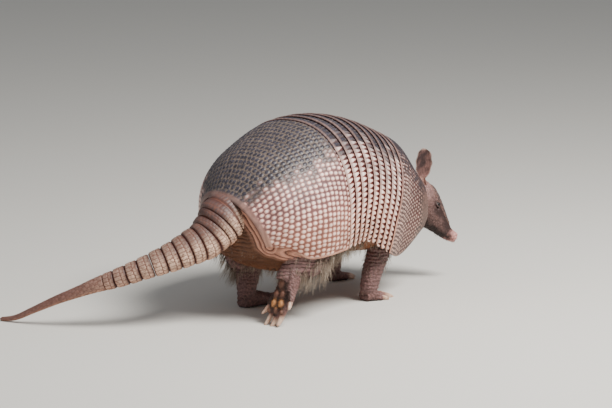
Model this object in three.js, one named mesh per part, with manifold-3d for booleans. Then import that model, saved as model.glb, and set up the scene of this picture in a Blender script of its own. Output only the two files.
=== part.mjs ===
// Nine-banded armadillo, life size, walking: back arched, head low and turned to the right,
// tail swung to the left with its tip on the ground, right hind foot pushing off.
// Millimetres and degrees; +X forward, +Y the animal's left, +Z up, the floor at z = 0.

import * as THREE from 'three';
import { mergeVertices } from 'three/addons/utils/BufferGeometryUtils.js';
import Module from 'manifold-3d';

const wasm = await Module();
wasm.setup();

// ---------------------------------------------------------------- driving dimensions

const GAP = 0.4;                    // clearance between neighbouring pieces
const SHELL_SEGMENTS = 18;          // facets across the shell, edge to edge
const SHELL_ANGLE = 115;            // the shell wraps this far down each side from the ridge
const SHELL_SQUARENESS = 2.25;      // exponent of the shell's superelliptic arch
const SHELL_TUCK = 0.06;            // share of its half width the skirt pulls in at its edge

// Cross-sections of the shell. t runs from the rear margin (0) to the front margin (260).
// x, y, z: middle of the section at the height of its widest points; pitch, yaw: its tilt;
// half: half width; rise: height of the ridge; drop: depth of the skirt; sweep: its lean.
const SHELL = [
  { t: 0, x: 17.5, y: -1, z: 89, pitch: 25, yaw: -8, half: 51.5, rise: 58.5, drop: 6, sweep: 14.5 },
  { t: 15, x: 34, y: -2, z: 93.5, pitch: 13.5, yaw: -3, half: 72.5, rise: 75.5, drop: 14, sweep: 3 },
  { t: 35, x: 51.5, y: -1.5, z: 94.5, pitch: 8, yaw: -1.5, half: 84, rise: 90.5, drop: 22, sweep: 0 },
  { t: 60, x: 73, y: -1, z: 97, pitch: 4, yaw: 0, half: 91.5, rise: 99.5, drop: 24, sweep: 1.5 },
  { t: 95, x: 106.5, y: -0.5, z: 104.5, pitch: -3.5, yaw: 0.5, half: 91.5, rise: 108.5, drop: 29, sweep: 5 },
  { t: 140, x: 152.5, y: 1, z: 108.5, pitch: -15, yaw: -3.5, half: 93.5, rise: 105, drop: 29.5, sweep: 5.5 },
  { t: 190, x: 209, y: -4.5, z: 95.5, pitch: -19.5, yaw: -10.5, half: 87, rise: 96.5, drop: 37, sweep: 6 },
  { t: 225, x: 249, y: -10, z: 88, pitch: -15, yaw: -14, half: 68.5, rise: 84.5, drop: 40, sweep: 2 },
  { t: 260, x: 295, y: -22.5, z: 86, pitch: -5.5, yaw: -18.5, half: 48, rise: 46.5, drop: 13.5, sweep: -2 },
];
const PELVIC_END = 95;              // t of the border between pelvic shield and last band
const SHOULDER_START = 190;         // t of the border between first band and shoulder shield
const SHELL_FRONT = 260;            // t of the front margin
const BAND_COUNT = 9;
const BAND_WIDTH = (SHOULDER_START - PELVIC_END) / BAND_COUNT;

const LAP = 3;                      // length that each piece slides under the piece in front
const BAND_THICKNESS = 1.4;
const LIP = 1;                      // how far a rear edge stands above the mean surface
const TUCKED = -1.6;                // how far a front edge lies below the mean surface
const SHIELD_THICKNESS = 2.4;
const SHOULDER_THICKNESS = 1.6;
const ROOM_DEPTH = 4;               // depth below the mean surface that only the shell may fill
const ROOM_HEIGHT = 14;
const ROOM_ROWS = 18;
const PELVIC_ROWS = [0, 7, 17, 30, 46, 68, 92];          // t of the rows of the pelvic shield
const SHOULDER_ROWS = [208, 226, 243, SHELL_FRONT];      // and of the shoulder shield
const SHOULDER_LIP = { t: 196, raised: 0.2 };            // where its rear lip has run out

// Flesh under the shell: inset below the shell's arch, and belly depth below its widest points.
const TRUNK = [
  { t: 0, inset: 15, belly: 27 },
  { t: 15, inset: 11, belly: 38 },
  { t: 35, inset: 6, belly: 45 },
  { t: 60, inset: 5, belly: 50 },
  { t: 95, inset: 5, belly: 53 },
  { t: 140, inset: 5, belly: 55 },
  { t: 190, inset: 6, belly: 46 },
  { t: 225, inset: 12, belly: 42 },
  { t: 243, inset: 15, belly: 36 },
];
const TRUNK_RINGS = 11;
const RUMP_END = { x: 3, y: 0, z: 84, pitch: 30, yaw: -9, half: 20, rise: 20, belly: 16 };
const FLESH_SEGMENTS = 18;

// Tail: s is the length along it from the shell's rear margin.
const TAIL = [
  { s: -24, x: 22, y: -4, z: 122, r: 21 },
  { s: -10, x: 10, y: -2, z: 121, r: 25 },
  { s: 0, x: 0, y: 0, z: 117, r: 28.5 },
  { s: 10, x: -7.5, y: 2, z: 110.5, r: 27.5 },
  { s: 19, x: -14, y: 4, z: 105, r: 24.5 },
  { s: 33, x: -24.5, y: 6.5, z: 96, r: 22 },
  { s: 58, x: -45.5, y: 16.5, z: 86, r: 18.5 },
  { s: 79, x: -61, y: 27.5, z: 78, r: 15.8 },
  { s: 109, x: -82, y: 46, z: 67.5, r: 12.6 },
  { s: 141, x: -101, y: 69, z: 56, r: 10.4 },
  { s: 168, x: -116, y: 90, z: 47, r: 8 },
  { s: 187, x: -125, y: 104.5, z: 40, r: 6.4 },
  { s: 214, x: -137, y: 127, z: 29.5, r: 5 },
  { s: 246, x: -149, y: 154, z: 15.5, r: 3.7 },
  { s: 268, x: -156.5, y: 174, z: 5.5, r: 3 },
  { s: 288, x: -162, y: 193, z: 1.8, r: 2.1 },
];
const RING_LENGTHS = [9.5, 9.5, 11, 13.5, 13, 14, 14.5, 15.5, 14.5, 14.5, 15, 12.5];
const RING_SEGMENTS = 12;
const RING_STEP = 0.9;              // a ring's rear rim stands this far above the next ring
const TAIL_HIDDEN = 14;             // length of the first ring under the shell
const TAIL_ROOM = [-14.4, -6, 3, 12, 22, 33];            // s of the rings of the cut in the rump
const TIP_RINGS = 8;

// Neck and head: middle of each section with its half width a and half height b.
const NECK = [
  { x: 262, y: -14, z: 91, a: 46, b: 42 },
  { x: 279, y: -18, z: 93, a: 40, b: 36 },
  { x: 292, y: -23, z: 97, a: 32, b: 31 },
  { x: 301, y: -28.5, z: 101, a: 25, b: 26 },
];
const HEAD = [
  { x: 297, y: -25.5, z: 103, a: 23.5, b: 24.5 },
  { x: 304, y: -31, z: 98.5, a: 23, b: 24 },
  { x: 310, y: -35.5, z: 91, a: 21.5, b: 22.5 },
  { x: 318, y: -42, z: 78.5, a: 17.5, b: 18 },
  { x: 326.5, y: -48.5, z: 65.5, a: 12.5, b: 12 },
  { x: 333.5, y: -54, z: 55.5, a: 8.8, b: 8.2 },
  { x: 339, y: -58.5, z: 51, a: 7.4, b: 6.6 },
  { x: 342.5, y: -61, z: 49, a: 6.4, b: 5.6 },
];
const HEAD_RINGS = 11;
const HEAD_YAW = -38;               // the head's turn to the right
const HEAD_SHIELD = {
  from: 0.17, to: 0.66, angle: 38, thickness: 1.4, rows: 5, columns: 5, widest: 0.47, taper: 2.6,
};
const EYE = { along: 0.37, angle: 47, radius: 3.1, depth: 1.4 };

// Ears: leaf shaped and hollow, turned to the sides, upright on the back of the head.
const EAR = {
  height: 41.5, half: 10.4, stalk: 4.2, thickness: 1.6, cup: 4, widest: 0.58, spread: 0.47, point: 0.03,
};
// Each ear's turn from the head's heading, its tilt forwards, and its lean to its right.
const EAR_POSE = { left: { turn: -8, tilt: 11, lean: 22 }, right: { turn: -80, tilt: 7, lean: 0 } };
const EAR_ROWS = 7;
const EAR_COLUMNS = 4;
const EAR_BASE = { along: 0.07, side: 10, up: 20.5 };

// Limbs: middle of each section, half width a across the body and b along it.
const THIGH_RIGHT = [
  { x: 62, y: -44, z: 92, a: 24, b: 31 },
  { x: 68, y: -55, z: 77, a: 22, b: 31 },
  { x: 76, y: -64, z: 62, a: 16, b: 25 },
  { x: 80, y: -66, z: 53, a: 10, b: 15 },
];
const SHANK_RIGHT = [
  { x: 86, y: -67, z: 70, a: 13, b: 13 },
  { x: 70, y: -65, z: 68, a: 14, b: 14 },
  { x: 54, y: -60.5, z: 62, a: 12.5, b: 13 },
  { x: 42, y: -57.5, z: 54, a: 11.5, b: 11.5 },
  { x: 36, y: -56.5, z: 46, a: 10.5, b: 10 },
];
const THIGH_LEFT = [
  { x: 68, y: 30, z: 90, a: 24, b: 30 },
  { x: 72, y: 32, z: 70, a: 22, b: 30 },
  { x: 77, y: 35, z: 55, a: 17, b: 24 },
  { x: 82, y: 37, z: 46, a: 11, b: 15 },
];
const SHANK_LEFT = [
  { x: 92, y: 41, z: 61, a: 14, b: 16 },
  { x: 82, y: 37, z: 49, a: 15, b: 17 },
  { x: 74, y: 32, z: 35, a: 12.5, b: 14 },
  { x: 68, y: 28, z: 21, a: 10.5, b: 11 },
  { x: 67, y: 27, z: 12, a: 10, b: 10 },
];
const FORELEG_RIGHT = [
  { x: 216, y: -50, z: 82, a: 17, b: 26 },
  { x: 208, y: -56, z: 66, a: 15, b: 19 },
  { x: 200, y: -58, z: 53, a: 12.5, b: 13.5 },
  { x: 190, y: -58, z: 34, a: 11, b: 12 },
  { x: 184, y: -58, z: 17, a: 10, b: 10.5 },
  { x: 183, y: -58, z: 10, a: 9, b: 9 },
];
const FORELEG_LEFT = [
  { x: 226, y: 26, z: 84, a: 17, b: 26 },
  { x: 228, y: 35, z: 66, a: 15, b: 19 },
  { x: 232, y: 39, z: 51, a: 12.5, b: 13.5 },
  { x: 237, y: 41, z: 33, a: 11, b: 12 },
  { x: 238, y: 42, z: 17, a: 10, b: 10.5 },
  { x: 238, y: 42, z: 10, a: 9, b: 9 },
];
const LIMB_SEGMENTS = 14;
const LIMB_RINGS = 6;
const TANGENT_STEP = 0.02;          // share of a tube over which its direction is taken

// Feet in their own frame: toes along +X, sole at z = 0, +Y towards the body's midline.
// A toe runs from base to tip; claw is the length of its claw.
const HIND_FOOT = {
  sole: [
    { x: -41, half: 8, height: 13 },
    { x: -34, half: 11, height: 20 },
    { x: -19, half: 12.5, height: 17 },
    { x: -4, half: 15, height: 12 },
    { x: 3, half: 12, height: 8.5 },
  ],
  toes: [
    { base: [-10, 10], tip: [3, 14.5], radius: 4, claw: 13 },
    { base: [-4, 6.5], tip: [12, 8], radius: 4.4, claw: 15 },
    { base: [-4, 0], tip: [14.5, 0], radius: 4.6, claw: 16 },
    { base: [-4, -7], tip: [11, -8.5], radius: 4.4, claw: 14 },
    { base: [-16, -11], tip: [-5, -15.5], radius: 3.9, claw: 10 },
  ],
};
const FORE_FOOT = {
  sole: [
    { x: -18, half: 8, height: 11 },
    { x: -10, half: 10.5, height: 16 },
    { x: -2, half: 11, height: 11 },
    { x: 3, half: 9, height: 8 },
  ],
  toes: [
    { base: [-5, 7], tip: [5, 10.5], radius: 3.5, claw: 10 },
    { base: [-3, 3.5], tip: [10, 4.5], radius: 3.9, claw: 16 },
    { base: [-3, -3], tip: [9, -4], radius: 3.9, claw: 15 },
    { base: [-6, -7], tip: [2, -10.5], radius: 3.4, claw: 8 },
  ],
};
// Where each foot stands: the ball's place, its heading, and how far the heel is raised.
const FEET = {
  hindfoot_right: { shape: HIND_FOOT, x: 21, y: -58, z: 24.5, yaw: -6, pitch: 112, inner: 1 },
  hindfoot_left: { shape: HIND_FOOT, x: 101, y: 25, z: 0, yaw: -4, pitch: 0, inner: -1 },
  forefoot_right: { shape: FORE_FOOT, x: 194, y: -59, z: 0, yaw: -10, pitch: 0, inner: 1 },
  forefoot_left: { shape: FORE_FOOT, x: 249, y: 42, z: 0, yaw: 0, pitch: 0, inner: -1 },
};
const SOLE = { sides: 8, squareness: 2.6 };
const TOE = { knuckle: 1.25, end: 0.8, segments: 6 };
const CLAW = {
  width: 0.68, height: 0.92, rise: 1.05, fall: 0.33, sunk: 4, rows: 3, segments: 6, tip: 0.22, taper: 1.6,
};
const FLOOR_SLAB = { size: 900, depth: 60 };

// Colours of the surfaces.
const COLOURS = {
  shell: { color: 0x9c8578, roughness: 0.5, metalness: 0 },
  skin: { color: 0x6b4636, roughness: 0.75, metalness: 0 },
  head: { color: 0x7d5a50, roughness: 0.7, metalness: 0 },
  ear: { color: 0x7a594e, roughness: 0.75, metalness: 0 },
  tail: { color: 0xc9a28c, roughness: 0.55, metalness: 0 },
  claw: { color: 0xd8bfa8, roughness: 0.4, metalness: 0 },
  eye: { color: 0x120c0a, roughness: 0.1, metalness: 0 },
};

// ---------------------------------------------------------------- small tools

const radians = THREE.MathUtils.degToRad;
const UP = new THREE.Vector3(0, 0, 1);
const FORWARD = new THREE.Vector3(1, 0, 0);

// Smooth value of every column of a table at one place of its key column.
function interpolate(rows, key, at) {
  const last = rows.length - 1;
  let i = 0;
  while (i < last - 1 && at > rows[i + 1][key]) i += 1;
  const span = rows[i + 1][key] - rows[i][key];
  const f = (at - rows[i][key]) / span;
  const slope = (k, name) => {
    const lower = rows[Math.max(k - 1, 0)];
    const upper = rows[Math.min(k + 1, last)];
    return (upper[name] - lower[name]) / (upper[key] - lower[key]);
  };
  const row = {};
  for (const name of Object.keys(rows[0])) {
    row[name] = (2 * f ** 3 - 3 * f ** 2 + 1) * rows[i][name]
      + (f ** 3 - 2 * f ** 2 + f) * span * slope(i, name)
      + (3 * f ** 2 - 2 * f ** 3) * rows[i + 1][name]
      + (f ** 3 - f ** 2) * span * slope(i + 1, name);
  }
  row[key] = at;
  return row;
}

// Unit vectors of a section: along the body, to its left, and up within the section.
function sectionAxes(pitch, yaw) {
  const p = radians(pitch);
  const y = radians(yaw);
  const along = new THREE.Vector3(Math.cos(p) * Math.cos(y), Math.cos(p) * Math.sin(y), Math.sin(p));
  const side = new THREE.Vector3(-Math.sin(y), Math.cos(y), 0);
  const up = new THREE.Vector3().crossVectors(along, side);
  return { along, side, up };
}

// Sine or cosine squared off to a superellipse.
function squared(value, exponent) {
  return Math.sign(value) * Math.abs(value) ** (2 / exponent);
}

function range(count) {
  return Array.from({ length: count }, (_, i) => i);
}

function geometryOf(points, triangles) {
  const geometry = new THREE.BufferGeometry();
  const numbers = points.flatMap((p) => [p.x, p.y, p.z]);
  geometry.setAttribute('position', new THREE.Float32BufferAttribute(numbers, 3));
  geometry.setIndex(triangles.flat());
  return geometry;
}

// Volume enclosed by a mesh; negative where its faces point inwards.
function volumeOf(points, triangles) {
  const cross = new THREE.Vector3();
  const sum = (total, [a, b, c]) => total + points[a].dot(cross.crossVectors(points[b], points[c])) / 6;
  return triangles.reduce(sum, 0);
}

function solidOf(points, triangles) {
  const outward = volumeOf(points, triangles) > 0 ? triangles : triangles.map(([a, b, c]) => [a, c, b]);
  return manifoldOf(geometryOf(points, outward));
}

function manifoldOf(geometry) {
  const bare = geometry.clone();
  bare.deleteAttribute('normal');
  bare.deleteAttribute('uv');
  const merged = mergeVertices(bare);
  return new wasm.Manifold(new wasm.Mesh({
    numProp: 3,
    vertProperties: new Float32Array(merged.attributes.position.array),
    triVerts: new Uint32Array(merged.index.array),
  }));
}

// Solid between closed rings of points, capped at both ends.
function ringLoft(rings) {
  const count = rings[0].length;
  const points = rings.flat();
  const triangles = [];
  for (let r = 0; r < rings.length - 1; r += 1) {
    for (let k = 0; k < count; k += 1) {
      const a = r * count + k;
      const b = r * count + ((k + 1) % count);
      triangles.push([a, b, b + count], [a, b + count, a + count]);
    }
  }
  const lastRing = (rings.length - 1) * count;
  for (let k = 1; k < count - 1; k += 1) {
    triangles.push([0, k + 1, k], [lastRing, lastRing + k, lastRing + k + 1]);
  }
  return solidOf(points, triangles);
}

// Solid between two sheets of points of equal rows and columns.
function sheetLoft(outer, inner) {
  const rows = outer.length;
  const columns = outer[0].length;
  const points = [...outer.flat(), ...inner.flat()];
  const at = (layer, r, c) => layer * rows * columns + r * columns + c;
  const last = columns - 1;
  const triangles = [];
  const quad = (a, b, c, d) => triangles.push([a, b, c], [a, c, d]);
  for (let r = 0; r < rows - 1; r += 1) {
    for (let c = 0; c < last; c += 1) {
      quad(at(0, r, c), at(0, r, c + 1), at(0, r + 1, c + 1), at(0, r + 1, c));
      quad(at(1, r, c), at(1, r + 1, c), at(1, r + 1, c + 1), at(1, r, c + 1));
    }
  }
  for (let c = 0; c < last; c += 1) {
    quad(at(0, 0, c + 1), at(0, 0, c), at(1, 0, c), at(1, 0, c + 1));
    quad(at(0, rows - 1, c), at(0, rows - 1, c + 1), at(1, rows - 1, c + 1), at(1, rows - 1, c));
  }
  for (let r = 0; r < rows - 1; r += 1) {
    quad(at(0, r, 0), at(0, r + 1, 0), at(1, r + 1, 0), at(1, r, 0));
    quad(at(0, r + 1, last), at(0, r, last), at(1, r, last), at(1, r + 1, last));
  }
  return solidOf(points, triangles);
}

// Elliptic ring about a centre; a is its half size along `side`, b along `up`.
function ellipseRing(centre, side, up, a, b, segments, squareness = 2) {
  return range(segments).map((k) => {
    const angle = (2 * Math.PI * k) / segments;
    return centre.clone()
      .addScaledVector(side, a * squared(Math.sin(angle), squareness))
      .addScaledVector(up, b * squared(Math.cos(angle), squareness));
  });
}

const pointOf = ({ x, y, z }) => new THREE.Vector3(x, y, z);

// Axes of a section between two rows: up is as near the reference as the direction allows.
function crossAxes(before, after, reference) {
  const along = pointOf(after).sub(pointOf(before)).normalize();
  const up = reference.clone().addScaledVector(along, -reference.dot(along)).normalize();
  return { along, up, side: new THREE.Vector3().crossVectors(up, along) };
}

// Section of a tube whose rows hold x, y, z, a, b, at a share f of its rows.
function tubeSection(rows, f, reference) {
  const keyed = rows.map((row, i) => ({ ...row, u: i / (rows.length - 1) }));
  const row = interpolate(keyed, 'u', f);
  const before = interpolate(keyed, 'u', Math.max(f - TANGENT_STEP, 0));
  const after = interpolate(keyed, 'u', Math.min(f + TANGENT_STEP, 1));
  return { ...crossAxes(before, after, reference), centre: pointOf(row), a: row.a, b: row.b };
}

// Closed tube through such rows, grown by `grow` on every side.
function tube(rows, reference, { rings, segments, grow = 0, squareness = 2 }) {
  const sections = range(rings).map((i) => {
    const s = tubeSection(rows, i / (rings - 1), reference);
    if (i === 0) s.centre.addScaledVector(s.along, -grow);
    if (i === rings - 1) s.centre.addScaledVector(s.along, grow);
    return ellipseRing(s.centre, s.side, s.up, s.a + grow, s.b + grow, segments, squareness);
  });
  return ringLoft(sections);
}

// ---------------------------------------------------------------- shell

// Point of the shell: t along the body, q from the right edge (-1) to the left edge (1),
// `raised` above the mean surface, `longer` below the edge.
function shellPoint(t, q, raised, longer = 0) {
  const row = interpolate(SHELL, 't', t);
  const { along, side, up } = sectionAxes(row.pitch, row.yaw);
  const angle = radians(Math.abs(q) * SHELL_ANGLE);
  const below = THREE.MathUtils.clamp((angle - Math.PI / 2) / (radians(SHELL_ANGLE) - Math.PI / 2), 0, 1);
  const arch = angle <= Math.PI / 2;
  const reach = arch ? row.half * squared(Math.sin(angle), SHELL_SQUARENESS)
    : row.half * (1 - SHELL_TUCK * below ** 2);
  const height = arch ? row.rise * squared(Math.cos(angle), SHELL_SQUARENESS) : -(row.drop + longer) * below;
  const spread = arch ? Math.sin(angle) : 1;
  const lift = arch ? Math.cos(angle) : 0;
  return pointOf(row)
    .addScaledVector(side, Math.sign(q) * (reach + raised * spread))
    .addScaledVector(up, height + raised * lift)
    .addScaledVector(along, row.sweep * below ** 1.3);
}

// Curved plate of the shell through rows of t, each raised by its own amount.
function shellPlate(rows, thickness, longer = 0) {
  const sheet = (depth) => rows.map(({ t, raised }) => range(SHELL_SEGMENTS + 1).map((c) => {
    const q = (2 * c) / SHELL_SEGMENTS - 1;
    return shellPoint(t, q, raised - depth, longer);
  }));
  return sheetLoft(sheet(0), sheet(thickness));
}

function pelvicShield() {
  const rows = PELVIC_ROWS.map((t) => ({ t, raised: 0 }));
  rows.push({ t: PELVIC_END + LAP, raised: TUCKED });
  return shellPlate(rows, SHIELD_THICKNESS);
}

// Bands are counted from the shoulder; each rear lip lies over the piece behind it.
function band(number) {
  const front = SHOULDER_START - (number - 1) * BAND_WIDTH;
  return shellPlate([
    { t: front - BAND_WIDTH, raised: LIP },
    { t: front + LAP, raised: TUCKED },
  ], BAND_THICKNESS);
}

function shoulderShield() {
  const rows = [{ t: SHOULDER_START, raised: LIP }, SHOULDER_LIP];
  SHOULDER_ROWS.forEach((t) => rows.push({ t, raised: 0 }));
  return shellPlate(rows, SHOULDER_THICKNESS);
}

// The room that only the shell may fill; flesh is cut back to it.
function shellRoom() {
  const step = (SHELL_FRONT + 2) / (ROOM_ROWS - 1);
  const rows = range(ROOM_ROWS).map((i) => ({ t: i * step - 1, raised: ROOM_HEIGHT }));
  return shellPlate(rows, ROOM_HEIGHT + ROOM_DEPTH, GAP);
}

// ---------------------------------------------------------------- trunk, neck, head

function trunkRing(row, grow, forward) {
  const { along, side, up } = sectionAxes(row.pitch, row.yaw);
  return range(FLESH_SEGMENTS).map((k) => {
    const angle = (2 * Math.PI * k) / FLESH_SEGMENTS;
    const height = Math.cos(angle) > 0 ? row.rise : row.belly;
    return pointOf(row)
      .addScaledVector(along, forward)
      .addScaledVector(side, (row.half + grow) * squared(Math.sin(angle), SHELL_SQUARENESS))
      .addScaledVector(up, (height + grow) * squared(Math.cos(angle), SHELL_SQUARENESS));
  });
}

// Section of the flesh under the shell at t.
function trunkSection(t) {
  const shell = interpolate(SHELL, 't', t);
  const flesh = interpolate(TRUNK, 't', t);
  return { ...shell, half: shell.half - flesh.inset, rise: shell.rise - flesh.inset, belly: flesh.belly };
}

function trunk(grow = 0) {
  const end = TRUNK[TRUNK.length - 1].t;
  const inside = range(TRUNK_RINGS).map((i) => trunkSection((end * i) / (TRUNK_RINGS - 1)));
  const rows = [RUMP_END, ...inside];
  const forward = (i) => (i === 0 ? -grow : 0) + (i === rows.length - 1 ? grow : 0);
  return ringLoft(rows.map((row, i) => trunkRing(row, grow, forward(i))));
}

const neck = (grow = 0) => tube(NECK, UP, { rings: 5, segments: 18, grow });
const headTube = (grow = 0) => tube(HEAD, UP, { rings: HEAD_RINGS, segments: 18, grow });
const headSection = (along) => tubeSection(HEAD, along, UP);

// Point on the head's surface; angle is measured from its top, positive to the left.
function headPoint(along, angle, raised) {
  const s = headSection(along);
  return s.centre.clone()
    .addScaledVector(s.side, (s.a + raised) * Math.sin(radians(angle)))
    .addScaledVector(s.up, (s.b + raised) * Math.cos(radians(angle)));
}

function headShield() {
  const { from, to, angle, thickness, rows, columns, widest, taper } = HEAD_SHIELD;
  const sheet = (raised) => range(rows).map((r) => range(columns).map((c) => {
    const share = r / (rows - 1);
    const across = (2 * c) / (columns - 1) - 1;
    const narrow = Math.sqrt(1 - (share - widest) ** 2 * taper);
    return headPoint(from + (to - from) * share, across * angle * narrow, raised);
  }));
  return sheetLoft(sheet(thickness + GAP), sheet(-thickness)).subtract(headTube(GAP));
}

function eye(side, grow = 0) {
  const centre = headPoint(EYE.along, side * EYE.angle, -EYE.depth);
  const ball = new THREE.SphereGeometry(EYE.radius + grow, 8, 5);
  ball.translate(centre.x, centre.y, centre.z);
  return manifoldOf(ball);
}

function ear(side, pose) {
  const root = headSection(EAR_BASE.along);
  const base = root.centre.clone()
    .addScaledVector(root.side, side * EAR_BASE.side)
    .addScaledVector(root.up, EAR_BASE.up);
  const turn = new THREE.Matrix4().makeRotationZ(radians(HEAD_YAW + pose.turn));
  const tilt = new THREE.Matrix4().makeRotationY(radians(pose.tilt));
  const lean = new THREE.Matrix4().makeRotationX(radians(pose.lean));
  const stand = new THREE.Matrix4().setPosition(base).multiply(turn).multiply(tilt).multiply(lean);
  const sheet = (front) => range(EAR_ROWS + 1).map((r) => range(EAR_COLUMNS + 1).map((c) => {
    const up = r / EAR_ROWS;
    const across = (2 * c) / EAR_COLUMNS - 1;
    const taper = 1 - ((up - EAR.widest) / EAR.spread) ** 2;
    const blade = EAR.half * Math.sqrt(Math.max(taper, EAR.point));
    const half = Math.max(blade, EAR.stalk * (1 - up));
    const hollow = EAR.cup * (across ** 2) * (half / EAR.half) + (front ? EAR.thickness : 0);
    return new THREE.Vector3(hollow, across * half, up * EAR.height).applyMatrix4(stand);
  }));
  return sheetLoft(sheet(true), sheet(false));
}

// ---------------------------------------------------------------- tail

function tailSection(s) {
  const row = interpolate(TAIL, 's', s);
  const axes = crossAxes(interpolate(TAIL, 's', s - 1), interpolate(TAIL, 's', s + 1), UP);
  return { ...axes, centre: pointOf(row), r: row.r };
}

function tailRing(s, extra) {
  const { centre, side, up, r } = tailSection(s);
  return ellipseRing(centre, side, up, r + extra, r + extra, RING_SEGMENTS);
}

function tailPiece(from, to, grow = 0) {
  return ringLoft([
    tailRing(from - grow, grow),
    tailRing((from + to) / 2, grow + RING_STEP / 2),
    tailRing(to + grow, grow + RING_STEP),
  ]);
}

// The room of the tail's first rings, which the rump is cut back to.
function tailRoom() {
  return ringLoft(TAIL_ROOM.map((s) => tailRing(s, GAP + RING_STEP)));
}

function tailTip(from) {
  const step = (TAIL[TAIL.length - 1].s - from) / (TIP_RINGS - 1);
  return aboveFloor(ringLoft(range(TIP_RINGS).map((i) => tailRing(from + step * i, 0))));
}

// ---------------------------------------------------------------- limbs and feet

function aboveFloor(solid) {
  const slab = new THREE.BoxGeometry(FLOOR_SLAB.size, FLOOR_SLAB.size, FLOOR_SLAB.depth);
  slab.translate(0, 0, -FLOOR_SLAB.depth / 2);
  return solid.subtract(manifoldOf(slab));
}

function limb(rows, grow = 0) {
  return tube(rows, FORWARD, { rings: LIMB_RINGS, segments: LIMB_SEGMENTS, grow });
}

function footPlacement({ x, y, z, yaw, pitch }) {
  return new THREE.Matrix4().makeTranslation(x, y, z)
    .multiply(new THREE.Matrix4().makeRotationZ(radians(yaw)))
    .multiply(new THREE.Matrix4().makeRotationY(radians(pitch)));
}

function place(solid, matrix) {
  return solid.transform(matrix.elements.slice());
}

// Sole and instep: domed sections on a flat underside.
function sole(rows) {
  return ringLoft(rows.map(({ x, half, height }) => range(SOLE.sides).map((k) => {
    const angle = (2 * Math.PI * (k + 0.5)) / SOLE.sides;
    const y = half * squared(Math.sin(angle), SOLE.squareness);
    const z = (height / 2) * (1 + squared(Math.cos(angle), SOLE.squareness));
    return new THREE.Vector3(x, y, z);
  })));
}

function toe({ base, tip, radius }, inner) {
  const row = ([x, y], a, b) => ({ x, y: inner * y, z: b, a, b });
  const rows = [
    row(base, radius, radius * TOE.knuckle),
    row(tip, radius * TOE.end, radius * TOE.end),
  ];
  return tube(rows, UP, { rings: rows.length, segments: TOE.segments });
}

// Curved claw out of a toe's tip, in the foot's frame.
function claw({ base, tip, radius, claw: length }, inner, grow = 0) {
  const heading = Math.atan2(inner * (tip[1] - base[1]), tip[0] - base[0]);
  const ahead = new THREE.Vector3(Math.cos(heading), Math.sin(heading), 0);
  const side = new THREE.Vector3(-Math.sin(heading), Math.cos(heading), 0);
  return ringLoft(range(CLAW.rows + 1).map((i) => {
    const share = i / CLAW.rows;
    const over = (i === CLAW.rows ? grow : 0) - (i === 0 ? grow : 0);
    const run = share * (length + CLAW.sunk) - CLAW.sunk + over;
    const height = radius * CLAW.rise - length * CLAW.fall * share ** 2;
    const centre = new THREE.Vector3(tip[0], inner * tip[1], height).addScaledVector(ahead, run);
    const taper = CLAW.tip + (1 - CLAW.tip) * Math.sqrt(1 - share ** CLAW.taper);
    const half = radius * CLAW.width * taper + grow;
    const tall = radius * CLAW.height * taper + grow;
    return ellipseRing(centre, side, UP, half, tall, CLAW.segments);
  }));
}

// Foot and claws of one limb, on the floor, clear of the limb above.
function footPieces(name, limbRows) {
  const spec = FEET[name];
  const matrix = footPlacement(spec);
  let foot = sole(spec.shape.sole);
  spec.shape.toes.forEach((t) => { foot = foot.add(toe(t, spec.inner)); });
  spec.shape.toes.forEach((t) => { foot = foot.subtract(claw(t, spec.inner, GAP)); });
  foot = aboveFloor(place(foot, matrix)).subtract(limb(limbRows, GAP));
  const claws = spec.shape.toes.map((t) => aboveFloor(place(claw(t, spec.inner), matrix)));
  return { foot, claws };
}

// ---------------------------------------------------------------- the animal

const animal = new THREE.Group();
animal.name = 'armadillo';

// Largest of the bodies of a solid, so that a cut leaves no loose chips.
function mainBody(solid) {
  return solid.decompose().reduce((best, part) => (part.volume() > best.volume() ? part : best));
}

function addPiece(name, solid, look) {
  const mesh = mainBody(solid).getMesh();
  const geometry = new THREE.BufferGeometry();
  geometry.setAttribute('position', new THREE.BufferAttribute(mesh.vertProperties, 3));
  geometry.setIndex(new THREE.BufferAttribute(mesh.triVerts, 1));
  geometry.computeVertexNormals();
  const piece = new THREE.Mesh(geometry, new THREE.MeshStandardMaterial(look));
  piece.name = name;
  animal.add(piece);
}

function addShell() {
  addPiece('pelvic_shield', pelvicShield(), COLOURS.shell);
  range(BAND_COUNT).forEach((i) => addPiece(`band_${i + 1}`, band(i + 1), COLOURS.shell));
  addPiece('shoulder_shield', shoulderShield(), COLOURS.shell);
}

function addTail(room) {
  let from = 0;
  RING_LENGTHS.forEach((length, i) => {
    const start = i === 0 ? -TAIL_HIDDEN : from + GAP / 2;
    const ring = tailPiece(start, from + length - GAP / 2);
    addPiece(`tail_ring_${i + 1}`, i === 0 ? ring.subtract(room) : ring, COLOURS.tail);
    from += length;
  });
  addPiece('tail_tip', tailTip(from + GAP / 2), COLOURS.tail);
}

function addBody(room) {
  const tailRoot = tailRoom();
  addPiece('trunk', trunk().subtract(tailRoot).subtract(room), COLOURS.skin);
  addPiece('neck', neck().subtract(trunk(GAP)).subtract(room), COLOURS.skin);
}

function addHead(room) {
  const behind = neck(GAP).add(trunk(GAP));
  const ears = { left: ear(1, EAR_POSE.left), right: ear(-1, EAR_POSE.right) };
  let head = headTube().subtract(behind).subtract(room);
  head = head.subtract(eye(1, GAP)).subtract(eye(-1, GAP));
  addPiece('head', head, COLOURS.head);
  addPiece('head_shield', headShield(), COLOURS.head);
  addPiece('eye_left', eye(1), COLOURS.eye);
  addPiece('eye_right', eye(-1), COLOURS.eye);
  const footing = headTube(GAP).add(behind).add(room);
  addPiece('ear_left', ears.left.subtract(footing), COLOURS.ear);
  addPiece('ear_right', ears.right.subtract(footing), COLOURS.ear);
}

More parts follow.
